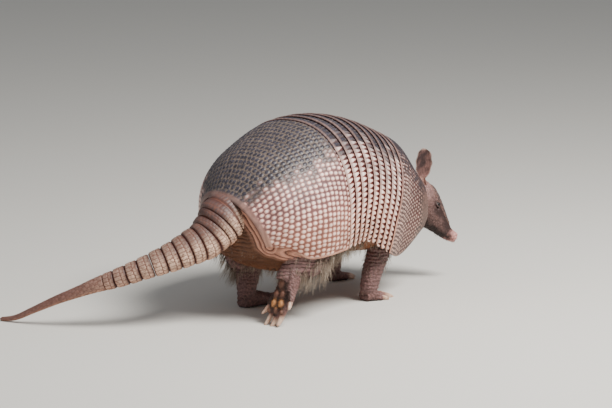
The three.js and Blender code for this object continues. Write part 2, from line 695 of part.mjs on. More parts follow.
function addLimbs(room) {
  const core = trunk(GAP).add(room);
  const limbs = {
    hind_right: { upper: THIGH_RIGHT, lower: SHANK_RIGHT, foot: 'hindfoot_right' },
    hind_left: { upper: THIGH_LEFT, lower: SHANK_LEFT, foot: 'hindfoot_left' },
    fore_right: { lower: FORELEG_RIGHT, foot: 'forefoot_right' },
    fore_left: { lower: FORELEG_LEFT, foot: 'forefoot_left' },
  };
  for (const [key, { upper, lower, foot }] of Object.entries(limbs)) {
    const [pair, side] = key.split('_');
    let shaft = limb(lower).subtract(core);
    if (upper) {
      addPiece(`thigh_${side}`, limb(upper).subtract(core), COLOURS.skin);
      shaft = shaft.subtract(limb(upper, GAP));
    }
    addPiece(upper ? `shank_${side}` : `foreleg_${side}`, aboveFloor(shaft), COLOURS.skin);
    const pieces = footPieces(foot, lower);
    addPiece(foot, pieces.foot, COLOURS.skin);
    pieces.claws.forEach((solid, i) => addPiece(`claw_${pair}_${side}_${i + 1}`, solid, COLOURS.claw));
  }
}

// Origin: the middle of the bounding box, on the floor.
function centreOnFloor(group) {
  const box = new THREE.Box3().setFromObject(group);
  const middle = box.getCenter(new THREE.Vector3());
  group.position.set(-middle.x, -middle.y, -box.min.z);
}

const room = shellRoom();
addShell();
addTail(room);
addBody(room);
addHead(room);
addLimbs(room);
centreOnFloor(animal);

export default animal;
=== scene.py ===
"""Nine-banded armadillo, life size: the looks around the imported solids.

The body tables are in millimetres in the animal's own frame: +X forward, +Y to its left, +Z up,
floor at z = 0, tail root above x = y = 0. `placed` takes points from there to the row frame.
"""

import math

import bmesh
import bpy
import numpy as np
from mathutils import Matrix, Vector, bvhtree, kdtree


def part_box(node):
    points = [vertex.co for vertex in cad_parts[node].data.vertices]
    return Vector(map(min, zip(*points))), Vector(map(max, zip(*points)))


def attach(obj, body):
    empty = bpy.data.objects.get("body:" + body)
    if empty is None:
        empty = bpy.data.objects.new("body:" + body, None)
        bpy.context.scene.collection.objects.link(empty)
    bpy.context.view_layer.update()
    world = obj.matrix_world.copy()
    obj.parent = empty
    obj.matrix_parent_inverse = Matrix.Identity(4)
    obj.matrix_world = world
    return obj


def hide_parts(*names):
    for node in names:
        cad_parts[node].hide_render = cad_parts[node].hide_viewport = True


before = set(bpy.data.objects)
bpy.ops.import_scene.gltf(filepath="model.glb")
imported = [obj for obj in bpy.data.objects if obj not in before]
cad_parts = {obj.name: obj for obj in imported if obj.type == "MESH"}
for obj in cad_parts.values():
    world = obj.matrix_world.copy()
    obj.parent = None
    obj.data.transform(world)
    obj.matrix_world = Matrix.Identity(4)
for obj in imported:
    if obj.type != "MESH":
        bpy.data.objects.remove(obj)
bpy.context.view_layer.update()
random = np.random.default_rng(7)

MM = 0.001

# ------------------------------------------------------------------ body tables, as in the solids

# t, x, y, z, pitch, yaw, half width, rise of the ridge, drop of the skirt, sweep of the skirt
SHELL = np.array([
    (0, 17.5, -1, 89, 25, -8, 51.5, 58.5, 6, 14.5),
    (15, 34, -2, 93.5, 13.5, -3, 72.5, 75.5, 14, 3),
    (35, 51.5, -1.5, 94.5, 8, -1.5, 84, 90.5, 22, 0),
    (60, 73, -1, 97, 4, 0, 91.5, 99.5, 24, 1.5),
    (95, 106.5, -0.5, 104.5, -3.5, 0.5, 91.5, 108.5, 29, 5),
    (140, 152.5, 1, 108.5, -15, -3.5, 93.5, 105, 29.5, 5.5),
    (190, 209, -4.5, 95.5, -19.5, -10.5, 87, 96.5, 37, 6),
    (225, 249, -10, 88, -15, -14, 68.5, 84.5, 40, 2),
    (260, 295, -22.5, 86, -5.5, -18.5, 48, 46.5, 13.5, -2),
])
SHELL_ANGLE = math.radians(115)
SQUARENESS = 2.25
SHELL_TUCK = 0.06
PELVIC_END, SHOULDER_START, SHELL_FRONT = 95, 190, 260
BAND_COUNT = 9
BAND_WIDTH = (SHOULDER_START - PELVIC_END) / BAND_COUNT
LAP, LIP, TUCKED = 3, 1.0, -1.6
PLATE = {"pelvic": 2.4, "band": 1.4, "shoulder": 1.6}    # thickness

# t, inset below the shell, depth of the belly
TRUNK = np.array([
    (0, 15, 27), (15, 11, 38), (35, 6, 45), (60, 5, 50), (95, 5, 53),
    (140, 5, 55), (190, 6, 46), (225, 12, 42), (243, 15, 36),
])
# the rump's end: x, y, z, pitch, yaw, half width, rise, belly
RUMP_END = np.array([3, 0, 84, 30, -9, 20, 20, 16], float)

# s, x, y, z, radius
TAIL = np.array([
    (-24, 22, -4, 122, 21), (-10, 10, -2, 121, 25), (0, 0, 0, 117, 28.5), (10, -7.5, 2, 110.5, 27.5),
    (19, -14, 4, 105, 24.5), (33, -24.5, 6.5, 96, 22), (58, -45.5, 16.5, 86, 18.5),
    (79, -61, 27.5, 78, 15.8), (109, -82, 46, 67.5, 12.6), (141, -101, 69, 56, 10.4),
    (168, -116, 90, 47, 8), (187, -125, 104.5, 40, 6.4), (214, -137, 127, 29.5, 5),
    (246, -149, 154, 15.5, 3.7), (268, -156.5, 174, 5.5, 3), (288, -162, 193, 1.8, 2.1),
])
RING_LENGTHS = (9.5, 9.5, 11, 13.5, 13, 14, 14.5, 15.5, 14.5, 14.5, 15, 12.5)
RING_GAP = 0.4
TAIL_HIDDEN = 14
TAIL_SEEN = 9                       # how much of the first ring before s = 0 is seen

# x, y, z, half width a, half height b
NECK = np.array([
    (262, -14, 91, 46, 42), (279, -18, 93, 40, 36), (292, -23, 97, 32, 31), (301, -28.5, 101, 25, 26),
])
HEAD = np.array([
    (297, -25.5, 103, 23.5, 24.5), (304, -31, 98.5, 23, 24), (310, -35.5, 91, 21.5, 22.5),
    (318, -42, 78.5, 17.5, 18), (326.5, -48.5, 65.5, 12.5, 12), (333.5, -54, 55.5, 8.8, 8.2),
    (339, -58.5, 51, 7.4, 6.6), (342.5, -61, 49, 6.4, 5.6),
])
HEAD_YAW = -38
HEAD_SHIELD = {"from": 0.17, "to": 0.66, "angle": 38, "thickness": 1.4, "widest": 0.47, "taper": 2.6}
EYE = {"along": 0.37, "angle": 47, "radius": 3.1, "depth": 1.4}
EAR = {"height": 41.5, "half": 10.4, "stalk": 4.2, "thickness": 1.6, "cup": 4,
       "widest": 0.58, "spread": 0.47, "point": 0.03}
EAR_POSE = {"left": (-8, 11, 22), "right": (-80, 7, 0)}    # turn, tilt forwards, lean to the right
EAR_BASE = {"along": 0.07, "side": 10, "up": 20.5}

LIMBS = {
    "thigh_right": [(62, -44, 92, 24, 31), (68, -55, 77, 22, 31), (76, -64, 62, 16, 25),
                    (80, -66, 53, 10, 15)],
    "shank_right": [(86, -67, 70, 13, 13), (70, -65, 68, 14, 14), (54, -60.5, 62, 12.5, 13),
                    (42, -57.5, 54, 11.5, 11.5), (36, -56.5, 46, 10.5, 10)],
    "thigh_left": [(68, 30, 90, 24, 30), (72, 32, 70, 22, 30), (77, 35, 55, 17, 24),
                   (82, 37, 46, 11, 15)],
    "shank_left": [(92, 41, 61, 14, 16), (82, 37, 49, 15, 17), (74, 32, 35, 12.5, 14),
                   (68, 28, 21, 10.5, 11), (67, 27, 12, 10, 10)],
    "foreleg_right": [(216, -50, 82, 17, 26), (208, -56, 66, 15, 19), (200, -58, 53, 12.5, 13.5),
                      (190, -58, 34, 11, 12), (184, -58, 17, 10, 10.5), (183, -58, 10, 9, 9)],
    "foreleg_left": [(226, 26, 84, 17, 26), (228, 35, 66, 15, 19), (232, 39, 51, 12.5, 13.5),
                     (237, 41, 33, 11, 12), (238, 42, 17, 10, 10.5), (238, 42, 10, 9, 9)],
}
# x, half width, height of the sole; toes: base, tip, radius, claw length
HIND_FOOT = {
    "sole": [(-41, 8, 13), (-34, 11, 20), (-19, 12.5, 17), (-4, 15, 12), (3, 12, 8.5)],
    "toes": [((-10, 10), (3, 14.5), 4, 13), ((-4, 6.5), (12, 8), 4.4, 15), ((-4, 0), (14.5, 0), 4.6, 16),
             ((-4, -7), (11, -8.5), 4.4, 14), ((-16, -11), (-5, -15.5), 3.9, 10)],
}
FORE_FOOT = {
    "sole": [(-18, 8, 11), (-10, 10.5, 16), (-2, 11, 11), (3, 9, 8)],
    "toes": [((-5, 7), (5, 10.5), 3.5, 10), ((-3, 3.5), (10, 4.5), 3.9, 16),
             ((-3, -3), (9, -4), 3.9, 15), ((-6, -7), (2, -10.5), 3.4, 8)],
}
FEET = {    # shape, ball's place, heading, raise of the heel, side of the midline
    "hindfoot_right": (HIND_FOOT, (21, -58, 24.5), -6, 112, 1),
    "hindfoot_left": (HIND_FOOT, (101, 25, 0), -4, 0, -1),
    "forefoot_right": (FORE_FOOT, (194, -59, 0), -10, 0, 1),
    "forefoot_left": (FORE_FOOT, (249, 42, 0), 0, 0, -1),
}
SOLE_SQUARENESS = 2.6
TOE = {"knuckle": 1.25, "end": 0.8}
CLAW_SLIM = 0.86                    # horn against the solid's width
CLAW = {"width": 0.68, "height": 0.92, "rise": 1.05, "fall": 0.33, "sunk": 4, "tip": 0.22, "taper": 1.6}

# ------------------------------------------------------------------ shapes of the tables


def interpolate(table, at):
    """Smooth values of the table's columns at places `at` of its first column."""
    keys, values = table[:, 0], table[:, 1:]
    at = np.atleast_1d(np.asarray(at, float))
    last = len(keys) - 1
    i = np.clip(np.searchsorted(keys, at, side="right") - 1, 0, last - 1)
    lower, upper = np.maximum(np.arange(last + 1) - 1, 0), np.minimum(np.arange(last + 1) + 1, last)
    slope = (values[upper] - values[lower]) / (keys[upper] - keys[lower])[:, None]
    span = (keys[i + 1] - keys[i])[:, None]
    f = (at - keys[i])[:, None] / span
    return ((2 * f**3 - 3 * f**2 + 1) * values[i] + (f**3 - 2 * f**2 + f) * span * slope[i]
            + (3 * f**2 - 2 * f**3) * values[i + 1] + (f**3 - f**2) * span * slope[i + 1])


def section_axes(pitch, yaw):
    """Unit vectors along the body, to its left, and up within the section."""
    p, y = np.radians(pitch), np.radians(yaw)
    along = np.stack([np.cos(p) * np.cos(y), np.cos(p) * np.sin(y), np.sin(p)], -1)
    side = np.stack([-np.sin(y), np.cos(y), 0 * y], -1)
    return along, side, np.cross(along, side)


def squared(value, exponent):
    return np.sign(value) * np.abs(value) ** (2 / exponent)


def smooth(low, high, value):
    f = np.clip((value - low) / (high - low), 0, 1)
    return f * f * (3 - 2 * f)


def shell_points(t, q, raised=0.0, longer=0.0):
    """Points of the shell for a column of t and a row of q, from right edge -1 to left edge 1."""
    row = interpolate(SHELL, t)
    along, side, up = (v[:, None, :] for v in section_axes(row[:, 3], row[:, 4]))
    half, rise, drop, sweep = (row[:, k][:, None] for k in (5, 6, 7, 8))
    q = np.broadcast_to(q, (len(row), np.shape(q)[-1]))
    angle = np.abs(q) * SHELL_ANGLE
    below = np.clip((angle - math.pi / 2) / (SHELL_ANGLE - math.pi / 2), 0, 1)
    arch = angle <= math.pi / 2
    reach = np.where(arch, half * squared(np.sin(angle), SQUARENESS), half * (1 - SHELL_TUCK * below**2))
    height = np.where(arch, rise * squared(np.cos(angle), SQUARENESS), -(drop + longer) * below)
    spread = np.where(arch, np.sin(angle), 1)
    lift = np.where(arch, np.cos(angle), 0)
    return (row[:, None, :3] + side * (np.sign(q) * (reach + raised * spread))[..., None]
            + up * (height + raised * lift)[..., None] + along * (sweep * below**1.3)[..., None])


def tube_section(rows, f, reference):
    """Centre, along, side, up and the two half sizes at shares f of a table of x, y, z, a, b."""
    rows = np.asarray(rows, float)
    keyed = np.column_stack([np.linspace(0, 1, len(rows)), rows])
    f = np.atleast_1d(np.asarray(f, float))
    row = interpolate(keyed, f)
    along = interpolate(keyed, np.minimum(f + 0.02, 1)) - interpolate(keyed, np.maximum(f - 0.02, 0))
    return (row[:, :3], *cross_axes(along[:, :3], reference), row[:, 3], row[:, 4])


def cross_axes(along, reference):
    along = along / np.linalg.norm(along, axis=1, keepdims=True)
    up = np.asarray(reference, float) - along * (along @ np.asarray(reference, float))[:, None]
    up /= np.linalg.norm(up, axis=1, keepdims=True)
    return along, np.cross(up, along), up


UP, FORWARD = (0, 0, 1), (1, 0, 0)


def ellipse_rings(centre, side, up, a, b, angles, exponent=2):
    """Rings of points; angles run from the top towards `side`. Half sizes may vary per point."""
    a, b = (np.reshape(v, (len(centre), -1)) for v in (a, b))
    across, high = squared(np.sin(angles), exponent), squared(np.cos(angles), exponent)
    return (centre[:, None, :] + side[:, None, :] * (a * across)[..., None]
            + up[:, None, :] * (b * high)[..., None])


def head_points(along, angle, raised=0.0):
    """Points of the head's surface; the angle is taken from its top, positive to the left."""
    along, angle, raised = np.broadcast_arrays(*(np.asarray(v, float) for v in (along, angle, raised)))
    centre, _, side, up, a, b = tube_section(HEAD, along.ravel(), UP)
    turn = np.radians(angle.ravel())
    high = raised.ravel()
    points = (centre + side * ((a + high) * np.sin(turn))[:, None]
              + up * ((b + high) * np.cos(turn))[:, None])
    return points.reshape(along.shape + (3,))


EYE_CENTRE = {name: head_points(EYE["along"], sign * EYE["angle"], -EYE["depth"])
              for name, sign in (("left", 1), ("right", -1))}


def shift_to_row_frame():
    """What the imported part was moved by, from where its right eye is."""
    low, high = (np.array(corner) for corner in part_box("eye_right"))
    return (low + high) / 2 - EYE_CENTRE["right"] * MM


SHIFT = shift_to_row_frame()


def placed(points):
    return np.asarray(points, float) * MM + SHIFT


# ------------------------------------------------------------------ meshes from grids


def grid_faces(rows, columns, closed=False):
    """Quads over a grid of points; `closed` joins the last column to the first."""
    r = np.arange(rows - 1)[:, None]
    c = np.arange(columns if closed else columns - 1)[None, :]
    after = (c + 1) % columns
    corners = (r * columns + c, r * columns + after, (r + 1) * columns + after, (r + 1) * columns + c)
    return np.stack(corners, -1).reshape(-1, 4)


def build_mesh(name, points, faces, fields=None):
    """Object of a mesh in the row frame, from millimetre points, with float fields on its points."""
    mesh = bpy.data.meshes.new(name)
    mesh.from_pydata(placed(points).tolist(), [], [list(map(int, f)) for f in faces])
    for field, values in (fields or {}).items():
        mesh.attributes.new(field, "FLOAT", "POINT").data.foreach_set("value", np.asarray(values, np.float32))
    piece = bpy.data.objects.new(name, mesh)
    bpy.context.scene.collection.objects.link(piece)
    turn_outwards(mesh)
    mesh.shade_smooth()
    return piece


def turn_outwards(mesh):
    work = bmesh.new()
    work.from_mesh(mesh)
    bmesh.ops.recalc_face_normals(work, faces=work.faces)
    work.to_mesh(mesh)
    work.free()


def stitch(first, second):
    """Triangles between two lines of point numbers that share their ends' directions."""
    triangles = []
    i = j = 0
    while i < len(first) - 1 or j < len(second) - 1:
        ahead_first = (i + 1) / (len(first) - 1)
        ahead_second = (j + 1) / (len(second) - 1)
        if j == len(second) - 1 or (i < len(first) - 1 and ahead_first <= ahead_second):
            triangles.append((first[i], first[i + 1], second[j]))
            i += 1
        else:
            triangles.append((first[i], second[j + 1], second[j]))
            j += 1
    return triangles


def plate(outer, inner):
    """Points and faces of a closed plate: a fine outer sheet over a coarse inner one."""
    rows, columns = outer.shape[:2]
    under_rows, under_columns = inner.shape[:2]
    top = np.arange(rows * columns).reshape(rows, columns)
    under = rows * columns + np.arange(under_rows * under_columns).reshape(under_rows, under_columns)
    faces = [*grid_faces(rows, columns).tolist(),
             *(grid_faces(under_rows, under_columns) + rows * columns).tolist()]
    for edge in (lambda g: g[0], lambda g: g[-1], lambda g: g[:, 0], lambda g: g[:, -1]):
        faces += stitch(edge(top).tolist(), edge(under).tolist())
    return np.concatenate([outer.reshape(-1, 3), inner.reshape(-1, 3)]), faces


def capped_tube(rings):
    """Points and faces of a closed tube of rings, with a middle point in each end."""
    rows, columns = rings.shape[:2]
    ends = np.stack([rings[0].mean(0), rings[-1].mean(0)])
    faces = grid_faces(rows, columns, closed=True).tolist()
    first, last = rows * columns, rows * columns + 1
    lower = (rows - 1) * columns
    for k in range(columns):
        after = (k + 1) % columns
        faces.append((first, k, after))
        faces.append((last, lower + after, lower + k))
    return np.concatenate([rings.reshape(-1, 3), ends]), faces


def finish_piece(piece, slot, *nodes):
    """The piece rides on the body and stands for these solids, which it hides; `slot` is not used."""
    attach(piece, "root")
    if nodes:
        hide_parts(*nodes)
    return piece


# ------------------------------------------------------------------ patterns


def hashed(*numbers):
    """Repeatable random shares for whole numbers, one per point."""
    total = sum(np.asarray(n, np.int64) * k for n, k in zip(numbers, (374761393, 668265263, 974634777)))
    total = (total ^ (total >> 13)) * 1274126177
    return ((total ^ (total >> 16)) & 0xFFFFFF) / 0xFFFFFF


def scutes(x, y, stretch=1.0, jitter=0.08, seed=0):
    """Staggered cells of unit width in y and rows of height 1 in x, stretched by `stretch` in x.

    Returns the distance to the nearest middle, how far the second and third nearest are beyond
    it, and a random share for the nearest cell.
    """
    row, column = np.floor(x), np.floor(y)
    distances, tones = [], []
    for i in (-1, 0, 1, 2):
        for j in (-2, -1, 0, 1, 2):
            r, c = row + i, column + j
            middle_x = r + 0.5 + jitter * (hashed(r, c, seed) - 0.5) * 2
            middle_y = c + 0.5 * np.mod(r, 2) + jitter * (hashed(r, c, seed + 7) - 0.5) * 2
            distances.append(np.hypot((x - middle_x) * stretch, y - middle_y))
            tones.append(hashed(r, c, seed + 3))
    distances, tones = np.stack(distances), np.stack(tones)
    order = np.argsort(distances, axis=0)[:3]
    first, second, third = np.take_along_axis(distances, order, 0)
    return first, second - first, third - first, np.take_along_axis(tones, order[:1], 0)[0]


def worley(points, size, seed=0):
    """Cells in space: distance to the nearest seed and how far the second is beyond it, in sizes."""
    at = np.asarray(points, float) / size
    base = np.floor(at).astype(np.int64)
    first = np.full(len(at), 9.0)
    second = np.full(len(at), 9.0)
    for i in (-1, 0, 1):
        for j in (-1, 0, 1):
            for k in (-1, 0, 1):
                cell = base + (i, j, k)
                spot = [hashed(*(cell + 57 * n + seed).T) for n in range(3)]
                distance = np.linalg.norm(cell + np.stack(spot, -1) - at, axis=1)
                second = np.minimum(second, np.maximum(first, distance))
                first = np.minimum(first, distance)
    return first, second - first


def waves(points, size, seed=0):
    """Smooth noise of about -1 to 1 with features of about `size` millimetres."""
    source = np.random.default_rng(seed)
    total = 0
    for _ in range(7):
        direction = source.normal(size=3)
        direction *= source.uniform(0.6, 1.5) / np.linalg.norm(direction)
        total = total + np.sin(points @ direction * (2 * math.pi / size) + source.uniform(0, 2 * math.pi))
    return total / 3.2


# ------------------------------------------------------------------ shell

COLUMNS = 561                       # points across each plate of the shell
ROW_STEP = 0.72                     # millimetres of t between rows of points
SCUTE = {"row": 7.2, "column": 5.7, "stretch": 1.3, "height": 0.95, "radius": 2.45}
BEAD = {"row": 5.5, "column": 4.7, "stretch": 1.25, "height": 0.8, "radius": 1.76}


def cross_lengths(t, q):
    """Distance across the shell from the ridge, positive to the left, in mm."""
    points = shell_points(t, q)
    steps = np.linalg.norm(np.diff(points, axis=1), axis=2)
    length = np.concatenate([np.zeros((len(t), 1)), np.cumsum(steps, axis=1)], axis=1)
    return length - length[:, len(q) // 2][:, None]


def darkness(t, s, tone):
    """How slate grey the back is: 1 along the ridge, 0 low on the flanks. On the left the grey reaches further, as
    painted shade.
    """
    turn = np.interp(t, (0, 18, 35, 60, 95, 140, 190, 225, 260), (36, 52, 68, 78, 80, 88, 84, 72, 52))
    # painted shade: the grey reaches a quarter further on the left, the side away from the key light
    turn = turn * np.where(s > 0, 1.25, 1.0)
    spread = np.interp(t, (0, 60, 100, 140, 200, 260), (24, 28, 44, 66, 56, 36))
    return 1 - smooth(-0.5, 0.5, (np.abs(s) - turn) / spread + 0.6 * (tone - 0.5))


def plate_piece(name, t, raised, thickness, fields, node, longer=0.0):
    """A shell plate; `raised` is its outer surface above the mean one."""
    q = np.linspace(-1, 1, COLUMNS)
    outer = shell_points(t, q, raised, longer)
    under = slice(None, None, 8)
    rows = np.unique(np.r_[np.arange(0, len(t), 6), len(t) - 1])
    base = np.broadcast_to(fields.pop("base"), (len(t), COLUMNS))
    deep = shell_points(t, q, base - thickness, longer)[rows][:, under]
    points, faces = plate(outer, deep)
    blank = np.zeros(deep.shape[0] * deep.shape[1])
    values = {key: np.concatenate([np.broadcast_to(v, raised.shape).ravel(), blank]) for key, v in fields.items()}
    piece = build_mesh(name, points, faces, values)
    return finish_piece(piece, "carapace", node)


def scute_seeds(t, q, from_row, row, column, seed):
    """Middles of scutes in rows at equal distances along the shell from one of its sections.

    Each is set by its real distance along the row from the ridge, so all scutes are one size.
    """
    source = np.random.default_rng(seed)
    points = shell_points(t, q)
    steps = np.linalg.norm(np.diff(points, axis=0), axis=2)
    run = np.concatenate([np.zeros((1, len(q))), np.cumsum(steps, axis=0)])
    middle = len(q) // 2
    seeds = []
    for number in range(int(run[-1].max() / row) + 1):
        x = from_row + number * row
        line = np.stack([[np.interp(x, run[:, j], points[:, j, k]) for k in range(3)] for j in range(len(q))])
        inside = run[-1] >= x
        length = np.r_[0, np.cumsum(np.linalg.norm(np.diff(line, axis=0), axis=1))]
        length -= length[middle]
        first = math.ceil(length[0] / column)
        places = (np.arange(first, int(length[-1] / column) + 1) + 0.5 * (number % 2)) * column
        places += source.uniform(-0.09, 0.09, len(places)) * column
        held = np.interp(places, length, inside.astype(float)) > 0.98
        seeds.append(np.stack([np.interp(places[held], length, line[:, k]) for k in range(3)], -1))
    seeds = np.concatenate(seeds)
    return seeds + source.normal(scale=0.05 * column, size=seeds.shape)


def around_seeds(points, along, seeds, stretch):
    """Distances in mm to the nearest seed, then how far the next two are beyond it, and its number."""
    tree = kdtree.KDTree(len(seeds))
    for i, seed in enumerate(seeds):
        tree.insert(seed, i)
    tree.balance()
    flat, direction = points.reshape(-1, 3), along.reshape(-1, 3)
    near = np.array([[found[1] for found in tree.find_n(point, 6)] for point in flat])
    offset = flat[:, None, :] - seeds[near]
    ahead = (offset * direction[:, None, :]).sum(-1)
    distance = np.sqrt(np.maximum((offset**2).sum(-1) - ahead**2 * (1 - 1 / stretch**2), 0))
    order = np.argsort(distance, axis=1)[:, :3]
    distance = np.take_along_axis(distance, order, 1)
    number = np.take_along_axis(near, order[:, :1], 1)[:, 0]
    first = distance[:, 0]
    shape = points.shape[:-1]
    return [v.reshape(shape) for v in (first, distance[:, 1] - first, distance[:, 2] - first, number)]


def scute_relief(first, second, third, radius):
    """Height share of a scute: a round boss, a groove about it, and pits at the corners."""
    boss = np.clip(1 - (first / radius) ** 2, 0, 1) ** 0.6
    seam = smooth(0.0, 0.9, second)
    pit = np.clip(1 - third / 1.5, 0, 1)
    return np.maximum(boss * (0.35 + 0.65 * seam), 0.14 * (1 - pit))


def edge_distances(t, q):
    """Real distance of each point to the rear section and to the nearer skirt edge."""
    points = shell_points(t, q)
    steps = np.linalg.norm(np.diff(points, axis=0), axis=2)
    rear = np.concatenate([np.zeros((1, len(q))), np.cumsum(steps, axis=0)])
    s = cross_lengths(t, q)
    return rear, np.minimum(s - s[:, :1], s[:, -1:] - s)


def ridge_lines(distance, s):
    """Fine lines that run along a rim."""
    return 0.5 + 0.5 * np.cos(distance * 2 * math.pi / 1.9 + 0.8 * np.sin(s / 6))


def pelvic_piece():
    t = np.arange(0, PELVIC_END + LAP + ROW_STEP / 2, ROW_STEP)
    q = np.linspace(-1, 1, COLUMNS)
    s = cross_lengths(t, q)
    tt = np.broadcast_to(t[:, None], s.shape)
    seeds = scute_seeds(np.linspace(PELVIC_END + LAP, 0, 90), np.linspace(-1, 1, 281), 3.6,
                        SCUTE["row"], SCUTE["column"], 3)
    points = shell_points(t, q)
    along = np.gradient(points, axis=0)
    along /= np.linalg.norm(along, axis=2, keepdims=True)
    first, second, third, number = around_seeds(points, along, seeds, SCUTE["stretch"])
    tone = hashed(number, 0 * number + 5)
    relief = scute_relief(first, second, third, SCUTE["radius"])
    rear, side = edge_distances(t, q)
    rim = np.maximum(1 - smooth(5.0, 7.5, rear), 1 - smooth(1.6, 3.2, side))
    lines = ridge_lines(np.minimum(rear, side * 1.6), s)
    relief = relief * (1 - rim) + rim * (0.25 + 0.4 * lines)
    base = TUCKED * smooth(PELVIC_END - 3, PELVIC_END + LAP, tt)
    raised = base + SCUTE["height"] * (relief - 0.45) + 0.4 * rim - 0.5 * np.exp(-(rear / 1.2) ** 2)
    low = smooth(0.55, 1.0, np.abs(s) / s[:, -1:])
    fields = {"relief": relief, "tone": tone, "dark": darkness(tt, s, tone), "low": low, "base": base,
              "rim": rim}
    return plate_piece("pelvic_shield_scutes", t, raised, PLATE["pelvic"], fields, "pelvic_shield")


def band_piece(number):
    """A band: a smooth rim over the next piece, then a row of teeth, then a groove in front, darkened as painted
    shadow under the next band's rim.
    """
    front = SHOULDER_START - (number - 1) * BAND_WIDTH
    rear = front - BAND_WIDTH
    t = np.linspace(rear, front + LAP, 24)
    q = np.linspace(-1, 1, COLUMNS)
    s = cross_lengths(t, q)
    u = np.broadcast_to(((t - rear) / BAND_WIDTH)[:, None], s.shape)
    y = (np.abs(s) + 0.6 * np.sin(s / 19 + number)) / 5.75 + 0.37 * number
    tooth_number = np.round(y)
    tone = hashed(tooth_number, np.full_like(y, number), s > 0)
    offset = y - tooth_number + 0.08 * (tone - 0.5)
    widening = smooth(0.22, 0.9, u)
    upper, lower = 0.46 - 0.12 * widening, 0.47 - 0.40 * widening
    share = np.where(offset > 0, offset / lower, -offset / upper)
    tooth = 1 - smooth(0.86, 1.08, share)
    dome = np.sqrt(np.clip(1 - 0.75 * share**2, 0, 1)) * (1 - 0.5 * smooth(0.55, 0.9, u))
    rim = 1 - smooth(0.20, 0.28, u)
    crease = np.exp(-((u - 0.27) / 0.03) ** 2)
    # painted shadow under the next band's rim: the lowered relief darkens the band's front as well as sinking its
    # surface
    shadow = 0.6 * smooth(0.88, 0.98, u + 0.05 * (tone - 0.5))
    relief = np.maximum(rim * 0.6, tooth * (0.5 + 0.5 * dome)) - 0.22 * crease
    relief = np.clip(relief * (1 - shadow), 0, 1)
    edge = np.exp(-(u / 0.07) ** 2)
    base = LIP + (TUCKED - LIP) * u / (1 + LAP / BAND_WIDTH)
    raised = base + 0.9 * (relief - 0.5) - 0.4 * edge
    corner = np.abs(2 * np.clip(u, 0, 1) - 1) ** 3
    low = smooth(0.55, 1.0, np.abs(s) / s[:, -1:])
    line = 0.9 * np.exp(-((u - 0.07) / 0.09) ** 2)
    fields = {"relief": relief, "tone": tone, "low": low, "base": base, "rim": np.maximum(line, 0.5 * rim),
              "dark": darkness(rear + u * BAND_WIDTH, s, tone)}
    return plate_piece(f"band_{number}_scutes", t, raised, PLATE["band"], fields, f"band_{number}",
                       longer=-2.6 * corner)


def shoulder_piece():
    t = np.arange(SHOULDER_START, SHELL_FRONT + ROW_STEP / 2, ROW_STEP)
    q = np.linspace(-1, 1, COLUMNS)
    s = cross_lengths(t, q)
    tt = np.broadcast_to(t[:, None], s.shape)
    seeds = scute_seeds(np.linspace(SHOULDER_START, SHELL_FRONT, 80), np.linspace(-1, 1, 281), 6.2,
                        BEAD["row"], BEAD["column"], 5)
    points = shell_points(t, q)
    along = np.gradient(points, axis=0)
    along /= np.linalg.norm(along, axis=2, keepdims=True)
    first, second, third, number = around_seeds(points, along, seeds, BEAD["stretch"])
    tone = hashed(number, 0 * number + 9)
    relief = scute_relief(first, second, third, BEAD["radius"])
    behind, side = edge_distances(t, q)
    folds = 0.42 + 0.10 * np.sin(s * 1.9 + 2 * np.sin(tt / 7))
    plain = np.maximum(smooth(SHELL_FRONT - 20, SHELL_FRONT - 6, tt + 2 * np.sin(s / 7)),
                       1 - smooth(1.5, 3.5, side))
    lip = 1 - smooth(2.6, 3.6, behind)
    relief = relief * (1 - plain) + folds * plain
    relief = np.maximum(relief * (1 - lip), lip * 0.6)
    base = 0.2 + (LIP - 0.2) * (1 - smooth(0, 6, tt - SHOULDER_START))
    height = np.interp(tt, (SHOULDER_START, SHELL_FRONT), (BEAD["height"], 0.4))
    raised = base + height * (relief - 0.4) - 0.4 * np.exp(-(behind / 0.6) ** 2)
    low = smooth(0.45, 1.0, np.abs(s) / s[:, -1:])
    fields = {"relief": relief, "tone": tone, "dark": darkness(tt, s, tone), "low": low, "base": base,
              "front": 0.35 + 0.65 * smooth(196, 240, tt), "rim": 0.8 * lip}
    return plate_piece("shoulder_shield_scutes", t, raised, PLATE["shoulder"], fields, "shoulder_shield")


# ------------------------------------------------------------------ tail


def tail_section(s):
    row = interpolate(TAIL, s)
    along = interpolate(TAIL, np.asarray(s) + 1) - interpolate(TAIL, np.asarray(s) - 1)
    return (row[:, :3], *cross_axes(along[:, :3], UP), row[:, 3])


def tail_rings(s, raised, angles):
    centre, _, side, up, radius = tail_section(s)
    size = radius[:, None] + raised
    rings = ellipse_rings(centre, side, up, size, size, angles)
    rings[..., 2] = np.maximum(rings[..., 2], 0)
    return rings


